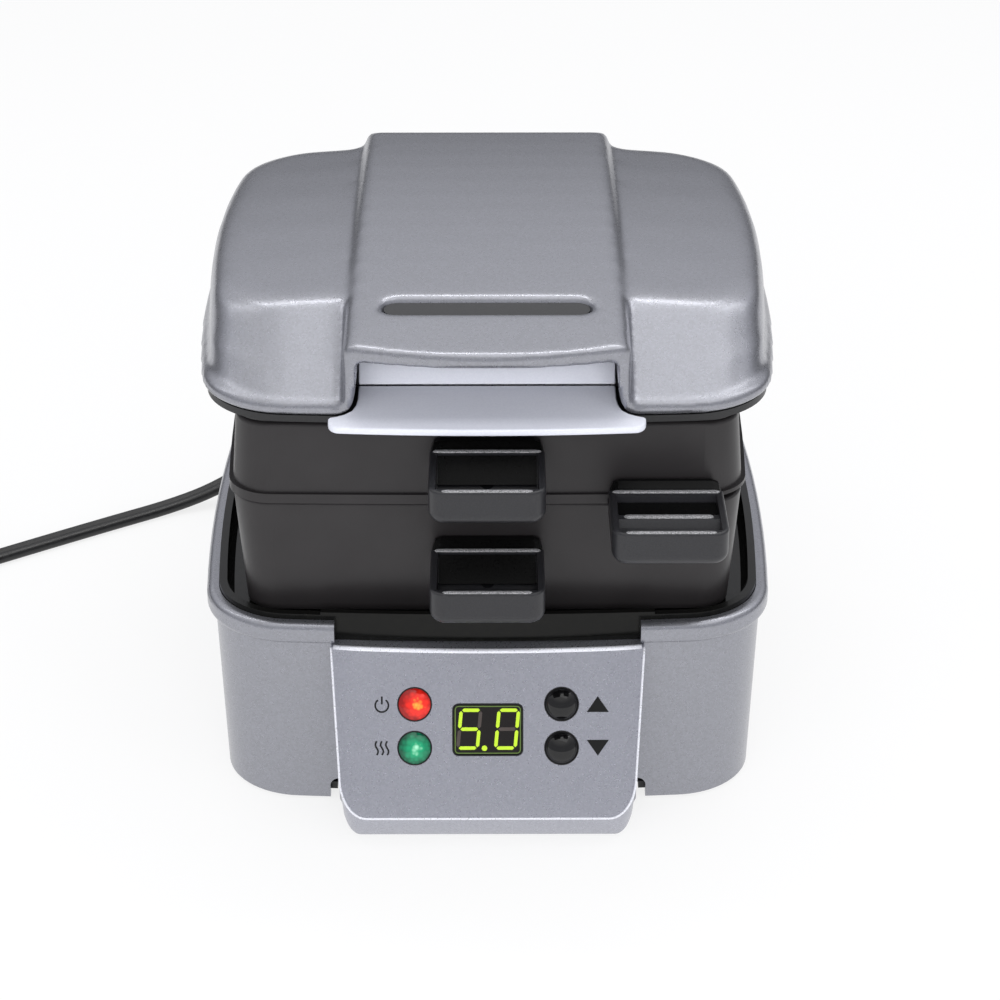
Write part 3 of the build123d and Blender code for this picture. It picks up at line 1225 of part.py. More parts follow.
# ------------------------------------------------------------------ lid liner
# Black moulding closing the lid from below. Its plateau stands on the upper ring, its ledge
# holds the upper heating plate, and its two arms reach back to the hinge.
LINER_T = 2.0
LINER_INSET = 1.5
UPPER_PLATE_GAP = 3.0
UPPER_FACE_Z = LINER_SEAT_Z - 4.0
LEDGE_IN = 8.0
LINER_SCREW_HEAD_T = 1.4
upper_plate_r = COOK_R - UPPER_PLATE_GAP
upper_plate_back = UPPER_FACE_Z + PLATE_T_MAX
ledge_z = upper_plate_back + SEAT
ARM_DROP = 4.0
TAB_SCREW_PLACES = [(sign * 25.0, -RING_HALF_D - 2.0) for sign in (-1, 1)]
LEDGE_SCREWS = [
    ((upper_plate_r - LEDGE_IN / 2) * math.cos(math.radians(angle)),
     (upper_plate_r - LEDGE_IN / 2) * math.sin(math.radians(angle)))
    for angle in SPACER_ANGLES
]
with BuildPart() as lid_liner:
    extrude(lid_outline(LID_RIM_Z, inset=LINER_INSET), amount=-LINER_T)
    extrude(ring_outline(LINER_SEAT_Z, inset=LINER_INSET), amount=LID_RIM_Z - LINER_SEAT_Z)
    fillet(lid_liner.faces().sort_by(Axis.Z)[0].edges(), radius=1.0)
    lugs(2, [
        (RING_HALF_D + 2, LINER_SEAT_Z + 1), (RING_HALF_D + 1, LID_RIM_Z - 0.5),
        (HINGE_Y - 16, LID_RIM_Z - 0.5), (HINGE_Y - 2, LID_RIM_Z - ARM_DROP),
        (HINGE_Y + KNUCKLE_R, HINGE_Z + 2), (HINGE_Y - KNUCKLE_R + 0.2, HINGE_Z + 1),
        (HINGE_Y - KNUCKLE_R - 1, LINER_SEAT_Z - 4), (HINGE_Y - 18, LINER_SEAT_Z),
    ])
    with BuildSketch(level(LINER_SEAT_Z - 1)) as plate_seat:
        Circle(upper_plate_r + 1)
    extrude(plate_seat.sketch, amount=ledge_z - LINER_SEAT_Z + 1, mode=Mode.SUBTRACT)
    with BuildSketch(level(LINER_SEAT_Z)) as element_hole:
        Circle(upper_plate_r - LEDGE_IN)
        with Locations(*LID_POSTS, *TAB_SCREW_PLACES, *LEDGE_SCREWS):
            Circle(SCREW_R + 0.2)
    extrude(element_hole.sketch, amount=2 * LINER_T + LID_RIM_LIFT, mode=Mode.SUBTRACT)
    with BuildSketch(level(LINER_SEAT_Z - 1)) as head_recesses:
        with Locations(*LID_POSTS):
            Circle(SCREW_HEAD_R + 0.4)
    extrude(head_recesses.sketch, amount=1 + LINER_T + LINER_SCREW_HEAD_T, mode=Mode.SUBTRACT)
    pin_bore(PIN_HALF)
save(lid_liner, "lid_liner")

with BuildPart() as lid_screws:
    head_seat = LINER_SEAT_Z + LINER_T + LINER_SCREW_HEAD_T
    with BuildSketch(level(head_seat)) as heads:
        with Locations(*LID_POSTS):
            Circle(SCREW_HEAD_R)
    extrude(heads.sketch, amount=-LINER_SCREW_HEAD_T)
    with BuildSketch(level(head_seat)) as shanks:
        with Locations(*LID_POSTS):
            Circle(SCREW_R)
    extrude(shanks.sketch, amount=2.5 * POST_R)
save(lid_screws, "lid_screws")

# ------------------------------------------------------------------ upper heating plate
with BuildPart() as upper_heating_plate:
    heating_plate(upper_plate_r, UPPER_FACE_Z, 1)
    upper_element_z = upper_plate_back + ELEMENT_TUBE_R / 2
    element_groove(upper_element_z, ELEMENT_TUBE_R, mode=Mode.SUBTRACT)
    with BuildSketch(level(upper_plate_back - 4.0)) as stud_bores:
        with Locations(*LEDGE_SCREWS):
            Circle(SCREW_R)
    extrude(stud_bores.sketch, amount=8.0, mode=Mode.SUBTRACT)
save(upper_heating_plate, "upper_heating_plate")

with BuildPart() as upper_heating_element:
    element(upper_element_z, 1)
save(upper_heating_element, "upper_heating_element")

with BuildPart() as upper_plate_screws:
    with BuildSketch(level(LID_RIM_Z)) as heads:
        with Locations(*LEDGE_SCREWS):
            Circle(SCREW_HEAD_R)
    extrude(heads.sketch, amount=1.6)
    with BuildSketch(level(LID_RIM_Z)) as shanks:
        with Locations(*LEDGE_SCREWS):
            Circle(SCREW_R - 0.05)
    extrude(shanks.sketch, amount=-(LID_RIM_Z - upper_plate_back + 3.5))
save(upper_plate_screws, "upper_plate_screws")

# ------------------------------------------------------------------ lifting tab
# Bright tongue screwed to the liner. Its riser stands at the back of the strap's recess.
TAB_CREASE_Y = STRAP_FRONT - 12.5
TAB_CREASE_Z = LID_RIM_Z + 5.0
TAB_FRONT_Z = LID_RIM_Z + 3.6
TAB_T = 2.2
TAB_RISE = 7.0
TAB_HALF_W = 43.5
TAB_FIT = 0.2
TAB_CORNER_R = 3.0
TAB_WING_R = 1.0
tab_seat = LID_RIM_Z
with BuildPart() as lid_tab:
    with BuildSketch(side(-TAB_HALF_W)) as profile:
        with BuildLine():
            Polyline(
                (RECESS_BACK - TAB_FIT, tab_seat), (RECESS_BACK - TAB_FIT, TAB_CREASE_Z + TAB_RISE),
                (RECESS_BACK - TAB_T, TAB_CREASE_Z + TAB_RISE), (-TAB_CREASE_Y, TAB_CREASE_Z),
                (-tab_reach, TAB_FRONT_Z), (-tab_reach, TAB_FRONT_Z - TAB_T),
                (-BASE_HALF_D - 0.5, tab_seat + 1.2), (-BASE_HALF_D + 1.5, tab_seat),
                close=True,
            )
        make_face()
    extrude(profile.sketch, amount=2 * TAB_HALF_W)
    with BuildSketch(level(LID_RIM_Z - 10)) as plan:
        with BuildLine():
            stem_half = RECESS_HALF_W - TAB_FIT
            Polyline((stem_half, -tab_wide_y), (stem_half, RECESS_BACK), (-stem_half, RECESS_BACK),
                     (-stem_half, -tab_wide_y), (-TAB_HALF_W, -tab_wide_y - 1.5),
                     (-TAB_HALF_W + 1.5, 1.2 - tab_reach))
            ThreePointArc((-TAB_HALF_W + 1.5, 1.2 - tab_reach), (0, -tab_reach),
                          (TAB_HALF_W - 1.5, 1.2 - tab_reach))
            Polyline((TAB_HALF_W - 1.5, 1.2 - tab_reach), (TAB_HALF_W, -tab_wide_y - 1.5),
                     (stem_half, -tab_wide_y))
        make_face()
        fillet(plan.vertices().group_by(Axis.Y)[1], radius=TAB_WING_R)
        fillet(plan.vertices().group_by(Axis.Y)[0], radius=TAB_CORNER_R)
    extrude(plan.sketch, amount=4 * TAB_RISE, mode=Mode.INTERSECT)
    with BuildSketch(level(tab_seat)) as tab_bores:
        with Locations(*TAB_SCREW_PLACES):
            Circle(POST_BORE_R)
    extrude(tab_bores.sketch, amount=3.0, mode=Mode.SUBTRACT)
save(lid_tab, "lid_tab")

with BuildPart() as tab_screws:
    with BuildSketch(level(LID_RIM_Z - LINER_T)) as heads:
        with Locations(*TAB_SCREW_PLACES):
            Circle(SCREW_HEAD_R - 0.4)
    extrude(heads.sketch, amount=-1.0)
    with BuildSketch(level(LID_RIM_Z - LINER_T)) as shanks:
        with Locations(*TAB_SCREW_PLACES):
            Circle(SCREW_R)
    extrude(shanks.sketch, amount=LINER_T + 2.6)
save(tab_screws, "tab_screws")

# ------------------------------------------------------------------ cord
# Mains cord: out of the tail's side through a tapered bushing, forward along the floor,
# then wound in a tied coil with its plug lying on the turns.
CORD_D = 7.0
BUSHING_END_X = -70.0
BUSHING_FLANGE_R = 8.2
BUSHING_LATCH_R = BUSHING_R + 0.3
BUSHING_TIP_R = 4.6
BUSHING_INNER_X = 1.0 + WALL - TAIL_HALF_W
CORD_Z = CORD_D / 2 + 0.1
CORD_ROUTE = [
    (BUSHING_END_X, CORD_EXIT_Y, CORD_EXIT_Z), (-83.0, CORD_EXIT_Y, CORD_EXIT_Z),
    (-98.0, 109.5, 6.0), (-114.0, 103.5, CORD_Z), (-134.0, 90.5, CORD_Z),
    (-156.0, 75.6, CORD_Z), (-178.0, 60.4, CORD_Z), (-199.5, 45.2, CORD_Z),
]
COIL_CENTRE = (-221.7, 76.6)
COIL_R = 38.5            # middle of the turns
COIL_BAND = 14.0
COIL_H = 7.6

with BuildPart() as cord_bushing:
    with BuildSketch(front(CORD_EXIT_Y)) as section:
        with BuildLine():
            Polyline(*[(x, CORD_EXIT_Z + r) for x, r in [
                (BUSHING_INNER_X + 1.4, 0), (BUSHING_INNER_X + 1.4, BUSHING_LATCH_R),
                (BUSHING_INNER_X, BUSHING_LATCH_R), (BUSHING_INNER_X, BUSHING_R - 0.2),
                (-TAIL_HALF_W - 0.1, BUSHING_R - 0.2), (-TAIL_HALF_W - 0.1, BUSHING_FLANGE_R),
                (-TAIL_HALF_W - 2.0, BUSHING_FLANGE_R), (-TAIL_HALF_W - 3.0, BUSHING_FLANGE_R - 1.2),
                (BUSHING_END_X, BUSHING_TIP_R), (BUSHING_END_X, 0),
            ]], close=True)
        make_face()
    revolve(section.sketch, axis=Axis((0, STACK_Y + CORD_EXIT_Y, CORD_EXIT_Z), (1, 0, 0)))
save(cord_bushing, "cord_bushing")

route = [Vector(x, STACK_Y + y, z) for x, y, z in CORD_ROUTE]
runs = [after - before for before, after in zip(route, route[1:])]
bend_radii = [
    0.45 * min(first.length, second.length) / math.tan(math.radians(first.get_angle(second)) / 2)
    for first, second in zip(runs, runs[1:])
]
print("cord radii", [round(radius) for radius in bend_radii])
with BuildPart() as power_cord:
    with BuildLine() as cord_path:
        FilletPolyline(*route, radius=bend_radii)
    with BuildSketch(Plane(origin=route[0], z_dir=runs[0])) as cord_section:
        Circle(CORD_D / 2)
    sweep(cord_section.sketch, path=cord_path.wire())
print("cord run", cord_path.wire().length)
save(power_cord, "power_cord")


def coil_band(inner, outer, height, mode=Mode.ADD):
    """Flat ring round the coil's centre, standing on the floor."""
    with BuildSketch(level(0)) as band:
        with Locations(COIL_CENTRE):
            Circle(COIL_R + outer)
            Circle(COIL_R - inner, mode=Mode.SUBTRACT)
    extrude(band.sketch, amount=height, mode=mode)


with BuildPart() as cord_coil:
    coil_band(COIL_BAND / 2, COIL_BAND / 2, COIL_H)
    fillet(cord_coil.edges(), radius=CORD_D / 3)
save(cord_coil, "cord_coil")

TIE_T = 1.0
TIE_W = 7.0
with BuildPart() as cord_tie:
    coil_band(COIL_BAND / 2 + TIE_T + 0.1, COIL_BAND / 2 + TIE_T + 0.1, COIL_H + TIE_T + 0.1)
    with BuildSketch(level(0)) as tie_width:
        with Locations((COIL_CENTRE[0], COIL_CENTRE[1] - COIL_R)):
            Rectangle(TIE_W, 2 * COIL_BAND)
    extrude(tie_width.sketch, amount=2 * COIL_H, mode=Mode.INTERSECT)
    coil_band(COIL_BAND / 2 + 0.1, COIL_BAND / 2 + 0.1, COIL_H + 0.1, mode=Mode.SUBTRACT)
save(cord_tie, "cord_tie")

# Two-blade plug, lying on its broad side along the top of the turns.
PLUG_TURN_DEG = 125.0    # where round the coil the plug's tail starts
PLUG_W = 20.0
PLUG_H = 12.5
PLUG_BACK = 12.5         # plug's faces, counted from the tip of its tail
PLUG_FRONT = 36.0
BLADE_PITCH = 12.7
BLADE_T = 1.5
BLADE_W = 6.35
BLADE_LENGTH = 16.0
plug_turn = math.radians(PLUG_TURN_DEG)
plug_heading = (math.sin(plug_turn), -math.cos(plug_turn), 0)
plug_axis_plane = Plane(
    origin=(COIL_CENTRE[0] + (COIL_R + 3) * math.cos(plug_turn),
            STACK_Y + COIL_CENTRE[1] + (COIL_R + 3) * math.sin(plug_turn), COIL_H + PLUG_H / 2),
    x_dir=(-plug_heading[1], plug_heading[0], 0), z_dir=plug_heading,
)
plug_along = Axis(plug_axis_plane.origin, plug_axis_plane.z_dir)
with BuildPart() as plug_body:
    with BuildSketch(plug_axis_plane.offset(PLUG_BACK)) as back_end:
        RectangleRounded(PLUG_W - 5, PLUG_H - 2.5, 3.5)
    with BuildSketch(plug_axis_plane.offset(PLUG_FRONT)) as front_end:
        RectangleRounded(PLUG_W, PLUG_H, 3.5)
    loft([back_end.sketch, front_end.sketch])
    fillet(plug_body.faces().sort_by(plug_along)[-1].edges(), radius=1.0)
    with BuildSketch(plug_axis_plane) as tail_end:
        Circle(CORD_D / 2)
    with BuildSketch(plug_axis_plane.offset(PLUG_BACK + 0.5)) as tail_root:
        Circle(CORD_D / 2 + 1)
    loft([tail_end.sketch, tail_root.sketch])
save(plug_body, "plug_body")

with BuildPart() as plug_blades:
    with BuildSketch(plug_axis_plane.offset(PLUG_FRONT)) as blade_section:
        with GridLocations(BLADE_PITCH, 1, 2, 1):
            Rectangle(BLADE_T, BLADE_W)
    extrude(blade_section.sketch, amount=BLADE_LENGTH)
    chamfer(plug_blades.faces().sort_by(plug_along)[-2:].edges(), length=0.4)
save(plug_blades, "plug_blades")
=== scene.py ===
import math

import bmesh
import bpy
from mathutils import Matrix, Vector


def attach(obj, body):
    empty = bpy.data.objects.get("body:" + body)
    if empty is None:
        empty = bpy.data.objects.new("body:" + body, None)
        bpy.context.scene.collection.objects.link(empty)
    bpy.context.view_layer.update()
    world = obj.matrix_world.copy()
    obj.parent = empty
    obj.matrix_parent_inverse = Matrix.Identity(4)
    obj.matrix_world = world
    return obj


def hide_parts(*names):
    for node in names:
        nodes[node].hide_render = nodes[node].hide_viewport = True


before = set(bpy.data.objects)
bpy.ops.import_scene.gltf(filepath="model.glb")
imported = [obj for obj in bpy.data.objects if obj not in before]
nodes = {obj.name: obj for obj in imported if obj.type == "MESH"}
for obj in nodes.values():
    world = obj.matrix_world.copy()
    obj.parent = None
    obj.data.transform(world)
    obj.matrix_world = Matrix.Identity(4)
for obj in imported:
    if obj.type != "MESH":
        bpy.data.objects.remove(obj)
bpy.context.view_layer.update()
MM = 0.001

# ---------------------------------------------------------------- table top
# A seamless white laminate top, matt, which takes the object's soft contact shadow. It is
# seen white by the camera and in reflections, and lights the object as a pale floor does.


def linear(hex_colour):
    """A written sRGB colour as the linear RGBA that Blender's sockets take."""
    channels = [int(hex_colour[i:i + 2], 16) / 255 for i in (1, 3, 5)]
    return [c / 12.92 if c <= 0.04045 else ((c + 0.055) / 1.055) ** 2.4 for c in channels] + [1.0]


def add_node(tree, kind, links=(), values=(), **settings):
    """Adds a node: settings are its properties, values its socket values, links what feeds it."""
    made = tree.nodes.new(kind)
    for name, value in settings.items():
        setattr(made, name, value)
    for socket, value in dict(values).items():
        made.inputs[socket].default_value = value
    for socket, source in dict(links).items():
        tree.links.new(source, made.inputs[socket])
    return made


def new_material(name):
    """A material with an empty node tree and its output."""
    material = bpy.data.materials.new(name)
    material.use_nodes = True
    material.node_tree.nodes.clear()
    output = add_node(material.node_tree, "ShaderNodeOutputMaterial")
    return material, material.node_tree, output


def mesh_piece(name, points, faces, material, smooth=True):
    """A mesh object at the origin from points in metres."""
    mesh = bpy.data.meshes.new(name)
    mesh.from_pydata([tuple(p) for p in points], [], faces)
    mesh.update()
    piece = bpy.data.objects.new(name, mesh)
    bpy.context.scene.collection.objects.link(piece)
    piece.data.materials.append(material)
    for polygon in mesh.polygons:
        polygon.use_smooth = smooth
    return piece


def background_rays(tree, share=1.0):
    """1 for the rays that meet the background itself: the camera's, glossy and transmitted."""
    rays = add_node(tree, "ShaderNodeLightPath")
    seen = rays.outputs["Is Camera Ray"]
    for kind in ("Is Glossy Ray", "Is Transmission Ray"):
        seen = add_node(tree, "ShaderNodeMath", operation="MAXIMUM",
                        links={0: seen, 1: rays.outputs[kind]}).outputs[0]
    return add_node(tree, "ShaderNodeMath", operation="MULTIPLY", links={0: seen},
                    values={1: share}).outputs[0]


TABLE_HALF = 6.0
TABLE_WHITE_SHARE = 0.78        # the rest of the table's look is its shaded surface
table_laminate, tree, output = new_material("matt_white_laminate")
shaded = add_node(tree, "ShaderNodeBsdfDiffuse", values={"Color": linear("#F4F4F4")})
plain_white = add_node(tree, "ShaderNodeEmission",
                       values={"Color": linear("#FFFFFF"), "Strength": 1.0})
mixed = add_node(tree, "ShaderNodeMixShader",
                 links={0: background_rays(tree, TABLE_WHITE_SHARE), 1: shaded.outputs[0],
                        2: plain_white.outputs[0]})
tree.links.new(mixed.outputs[0], output.inputs["Surface"])
table = mesh_piece("table_top", [(-TABLE_HALF, -TABLE_HALF, 0), (TABLE_HALF, -TABLE_HALF, 0),
                                 (TABLE_HALF, TABLE_HALF, 0), (-TABLE_HALF, TABLE_HALF, 0)],
                   [(0, 1, 2, 3)], table_laminate, smooth=False)

# ---------------------------------------------------------------- studio, lamps and camera
# A white cove with a large soft box overhead, a narrow strip above the back that draws the
# line along every rounded edge, fills and thin strips at both sides, and a low front card.
# Shiny faces mirror a room that runs from grey near the floor to white overhead.
STUDIO_LIGHT = 0.76
world = bpy.data.worlds.new("white_cove")
bpy.context.scene.world = world
world.use_nodes = True
tree = world.node_tree
tree.nodes.clear()
output = add_node(tree, "ShaderNodeOutputWorld")
room_light = add_node(tree, "ShaderNodeBackground",
                      values={"Color": linear("#F1F2F6"), "Strength": STUDIO_LIGHT})
direction = add_node(tree, "ShaderNodeSeparateXYZ",
                     links={"Vector": add_node(tree, "ShaderNodeTexCoord").outputs["Generated"]})


def ramped(tree, factor, *stops):
    """A colour that runs through the stops, each a place from 0 to 1 and a written colour."""
    ramp = add_node(tree, "ShaderNodeValToRGB", links={"Fac": factor})
    elements = ramp.color_ramp.elements
    for index, (position, colour) in enumerate((stops[0], stops[-1])):
        elements[index].position = position
        elements[index].color = linear(colour)
    for position, colour in stops[1:-1]:
        elements.new(position).color = linear(colour)
    return ramp.outputs["Color"]


room_behind = ramped(tree, direction.outputs["Z"], (0.0, "#3A3A3C"), (0.2, "#77787B"),
                     (0.45, "#E4E5EA"), (0.8, "#FFFFFF"))
room_in_front = ramped(tree, direction.outputs["Z"], (0.5, "#C0C1C6"), (0.82, "#FFFFFF"))
behind = add_node(tree, "ShaderNodeMapRange", links={"Value": direction.outputs["Y"]},
                  values={"From Min": -0.15, "From Max": 0.35})
mirrored_room = add_node(tree, "ShaderNodeMix", data_type="RGBA",
                         links={0: behind.outputs[0], 6: room_in_front, 7: room_behind})
room_colour = add_node(tree, "ShaderNodeMix", data_type="RGBA",
                       links={0: add_node(tree, "ShaderNodeLightPath").outputs["Is Glossy Ray"],
                              7: mirrored_room.outputs[2]})
room_colour.inputs[6].default_value = linear("#FFFFFF")
seen_room = add_node(tree, "ShaderNodeBackground", links={"Color": room_colour.outputs[2]})
mixed = add_node(tree, "ShaderNodeMixShader",
                 links={0: background_rays(tree), 1: room_light.outputs[0],
                        2: seen_room.outputs[0]})
tree.links.new(mixed.outputs[0], output.inputs["Surface"])


OBJECT_MIDDLE = Vector((0, 0, 0.08))


def soft_lamp(name, place, width, height, watts, mirrored=True):
    """A rectangular lamp turned to the object, in metres; mirrored in shiny faces or not."""
    data = bpy.data.lights.new(name, "AREA")
    data.shape = "RECTANGLE"
    data.size = width
    data.size_y = height
    data.energy = watts
    lamp = bpy.data.objects.new(name, data)
    lamp.location = place
    lamp.rotation_euler = (OBJECT_MIDDLE - Vector(place)).to_track_quat("-Z", "Y").to_euler()
    lamp.visible_glossy = mirrored
    bpy.context.scene.collection.objects.link(lamp)


soft_lamp("overhead_box", (0.25, -0.05, 1.2), 1.2, 1.2, 2.8)
soft_lamp("edge_strip", (0.0, 0.34, 1.05), 0.9, 0.07, 1.7)
soft_lamp("front_card", (0.0, -1.3, 0.5), 1.1, 0.5, 10.0, mirrored=False)
soft_lamp("left_fill", (-0.9, -1.1, 0.7), 0.8, 0.8, 2.8, mirrored=False)
soft_lamp("right_fill", (1.0, -0.9, 0.5), 0.7, 0.7, 2.0, mirrored=False)
soft_lamp("left_side_strip", (-0.62, 0.18, 0.8), 0.1, 0.5, 0.35)
soft_lamp("right_side_strip", (0.62, 0.18, 0.8), 0.1, 0.5, 0.4)

CAMERA_PITCH = math.radians(27.5611)
CAMERA_YAW = math.radians(0.2001)
CAMERA_AIM = Vector((3.843, -21.15, 58.036)) * MM
CAMERA_DISTANCE = 808.118 * MM
CAMERA_LENS = 92.20
looking = Vector((math.sin(CAMERA_YAW) * math.cos(CAMERA_PITCH),
                  math.cos(CAMERA_YAW) * math.cos(CAMERA_PITCH), -math.sin(CAMERA_PITCH)))
camera = bpy.data.objects.new("camera", bpy.data.cameras.new("camera"))
camera.data.lens = CAMERA_LENS
camera.location = CAMERA_AIM - looking * CAMERA_DISTANCE
camera.rotation_euler = looking.to_track_quat("-Z", "Y").to_euler()
bpy.context.scene.collection.objects.link(camera)
bpy.context.scene.camera = camera
bpy.context.scene.view_settings.view_transform = "Standard"

# ---------------------------------------------------------------- mains cord
# Two-core flat lead in extruded black vinyl, with the groove between its cores. It leaves the
# left of the hinge housing, drops to the table and runs to a wound coil held by a tie, and its
# moulded plug lies on the coil.
CORD_WIDTH = 7.0
CORD_LOBE_R = 1.8
CORD_Z = CORD_LOBE_R + 0.1
STACK_Y = -21.15
CORD_ROUTE = [
    (-70.0, 118.0, 12.5), (-83.0, 118.0, 12.5), (-98.0, 109.5, 6.0), (-114.0, 103.5, CORD_Z),
    (-134.0, 90.5, CORD_Z), (-156.0, 75.6, CORD_Z), (-178.0, 60.4, CORD_Z), (-199.5, 45.2, CORD_Z),
]
COIL_CENTRE = (-221.7, 76.6)
COIL_START_DEG = -54.7
COIL_END_DEG = 900.3
COIL_STEP_DEG = 15.0
COIL_OUTER_R = 42.0
COIL_INNER_R = 35.0
COIL_LIFT = 3.6           # the second turn lies on the first
PLUG_LIFT = 8.35          # and the end climbs to the plug
PLUG_TAIL_R = 41.5
PLUG_TAIL_Z = 13.85
LOBE_STEPS = 9


def principled(tree, output, **values):
    """A Principled shader joined to the output; values are socket names with _ for spaces."""
    named = {key.replace("_", " "): value for key, value in values.items()}
    shader = add_node(tree, "ShaderNodeBsdfPrincipled", values=named)
    tree.links.new(shader.outputs[0], output.inputs["Surface"])
    return shader


def object_pattern(tree, kind, size_mm, **values):
    """A procedural pattern on Object coordinates, with features of size_mm."""
    coordinates = add_node(tree, "ShaderNodeTexCoord")
    named = {key.replace("_", " "): value for key, value in values.items()}
    return add_node(tree, kind, links={"Vector": coordinates.outputs["Object"]},
                    values={"Scale": 1 / (size_mm * MM), **named})


def two_tone(tree, factor, low, high, low_at=0.3, high_at=0.7):
    """A colour that runs from low to high over the factor's range."""
    return ramped(tree, factor, (low_at, low), (high_at, high))


def spread(tree, factor, low, high):
    """The factor's 0 to 1 as low to high."""
    return add_node(tree, "ShaderNodeMapRange", links={"Value": factor},
                    values={"To Min": low, "To Max": high}).outputs[0]


def bumped(tree, shader, height, depth_mm, strength=1.0):
    """Gives the shader a bump of that depth."""
    bump = add_node(tree, "ShaderNodeBump", links={"Height": height},
                    values={"Distance": depth_mm * MM, "Strength": strength})
    tree.links.new(bump.outputs[0], shader.inputs["Normal"])


def moulded(name, low, high, roughness, grain_mm, depth_mm, ior=1.5):
    """Injection-moulded thermoplastic: an even tone with the fine grain of a sparked mould."""
    material, tree, output = new_material(name)
    grain = object_pattern(tree, "ShaderNodeTexNoise", grain_mm, Detail=3.0)
    shader = principled(tree, output, IOR=ior)
    tree.links.new(two_tone(tree, grain.outputs["Fac"], low, high), shader.inputs["Base Color"])
    tree.links.new(spread(tree, grain.outputs["Fac"], roughness - 0.08, roughness + 0.08),
                   shader.inputs["Roughness"])
    bumped(tree, shader, grain.outputs["Fac"], depth_mm, 0.5)
    return material


def wears(material, *names):
    """Gives CAD nodes that material."""
    for name in names:
        nodes[name].data.materials.clear()
        nodes[name].data.materials.append(material)


def eased(start, end, at):
    """0 before start, 1 after end, and a smooth S between them."""
    share = min(max((at - start) / (end - start), 0.0), 1.0)
    return share * share * (3 - 2 * share)


def on_coil(radius, turn, height):
    """A point of the coil, in metres, from its radius, angle and height."""
    return Vector((COIL_CENTRE[0] + radius * math.cos(turn),
                   COIL_CENTRE[1] + STACK_Y + radius * math.sin(turn), height)) * MM


# Extruded PVC: satin, with faint long waves from the die.
cord_vinyl = moulded("extruded_black_vinyl", "#131313", "#1C1C1D", 0.36, 1.4, 0.02)

route = [Vector((x, y + STACK_Y, z)) * MM for x, y, z in CORD_ROUTE]
wound = COIL_STEP_DEG
while wound < COIL_END_DEG:
    turn = math.radians(COIL_START_DEG - wound)
    radius = (COIL_OUTER_R - (COIL_OUTER_R - COIL_INNER_R) * eased(240, 350, wound)
              + (PLUG_TAIL_R - COIL_INNER_R) * eased(640, COIL_END_DEG, wound))
    height = (CORD_Z + COIL_LIFT * eased(535, 600, wound)
              + PLUG_LIFT * eased(815, COIL_END_DEG, wound))
    route.append(on_coil(radius, turn, height))
    wound += COIL_STEP_DEG
route.append(on_coil(PLUG_TAIL_R, math.radians(COIL_START_DEG - COIL_END_DEG), PLUG_TAIL_Z))


def spline_points(name, points, steps):
    """Points along the smooth NURBS line that the control points pull."""
    curve = bpy.data.curves.new(name, "CURVE")
    curve.dimensions = "3D"
    curve.resolution_u = steps
    spline = curve.splines.new("NURBS")
    spline.points.add(len(points) - 1)
    for point, place in zip(spline.points, points):
        point.co = (*place, 1.0)
    spline.order_u = 3
    spline.use_endpoint_u = True
    carrier = bpy.data.objects.new(name, curve)
    bpy.context.scene.collection.objects.link(carrier)
    evaluated = carrier.evaluated_get(bpy.context.evaluated_depsgraph_get())
    line = bpy.data.meshes.new_from_object(evaluated)
    places = [vertex.co.copy() for vertex in line.vertices]
    bpy.data.meshes.remove(line)
    bpy.data.objects.remove(carrier)
    bpy.data.curves.remove(curve)
    return places


def bridged(loops, count, start=0, closed=False):
    """Quads between loops of count points each, the last one joined to the first if closed."""
    faces = []
    for loop in range(loops if closed else loops - 1):
        here, ahead = start + loop * count, start + (loop + 1) % loops * count
        faces += [(here + k, here + (k + 1) % count, ahead + (k + 1) % count, ahead + k)
                  for k in range(count)]
    return faces


def capped(loops, count, start=0):
    """The two end faces and the sides of a solid made of loops of count points each."""
    end = start + (loops - 1) * count
    return [tuple(range(start, start + count)), tuple(range(end, end + count)),
            *bridged(loops, count, start)]


def swept(name, path, section, material):
    """A solid that carries a section, in (sideways, up) points, along a path."""
    points, around = [], len(section)
    for index, place in enumerate(path):
        before, after = path[max(index - 1, 0)], path[min(index + 1, len(path) - 1)]
        along = (after - before).normalized()
        sideways = along.cross(Vector((0, 0, 1))).normalized()
        upwards = sideways.cross(along)
        points += [place + sideways * x + upwards * z for x, z in section]
    faces = bridged(len(path), around)
    faces += [tuple(range(around))[::-1], tuple(range(len(points) - around, len(points)))]
    return outwards(mesh_piece(name, points, faces, material))


def outwards(piece):
    """Turns every face of a closed mesh outwards."""
    mesh = bmesh.new()
    mesh.from_mesh(piece.data)
    bmesh.ops.recalc_face_normals(mesh, faces=mesh.faces)
    mesh.to_mesh(piece.data)
    mesh.free()
    return piece


cord_path = spline_points("cord_line", route, 5)
lobe_x = CORD_WIDTH / 2 - CORD_LOBE_R
section = []
for side, first in ((1, -140.0), (-1, 40.0)):
    for step in range(LOBE_STEPS):
        angle = math.radians(first + 280.0 * step / (LOBE_STEPS - 1))
        section.append(((side * lobe_x + CORD_LOBE_R * math.cos(angle)) * MM,
                        CORD_LOBE_R * math.sin(angle) * MM))
cord = swept("mains_cord", cord_path, section, cord_vinyl)
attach(cord, "base")
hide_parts("power_cord", "cord_coil")
wears(cord_vinyl, "plug_body", "cord_tie")

# Rolled brass blades, cut and tumbled, with faint drawing marks along them.
brass, tree, output = new_material("rolled_brass")
marks = object_pattern(tree, "ShaderNodeTexNoise", 0.8, Detail=2.0)
shader = principled(tree, output, Metallic=1.0, Base_Color=linear("#C9A86A"))
tree.links.new(spread(tree, marks.outputs["Fac"], 0.22, 0.36), shader.inputs["Roughness"])
wears(brass, "plug_blades")

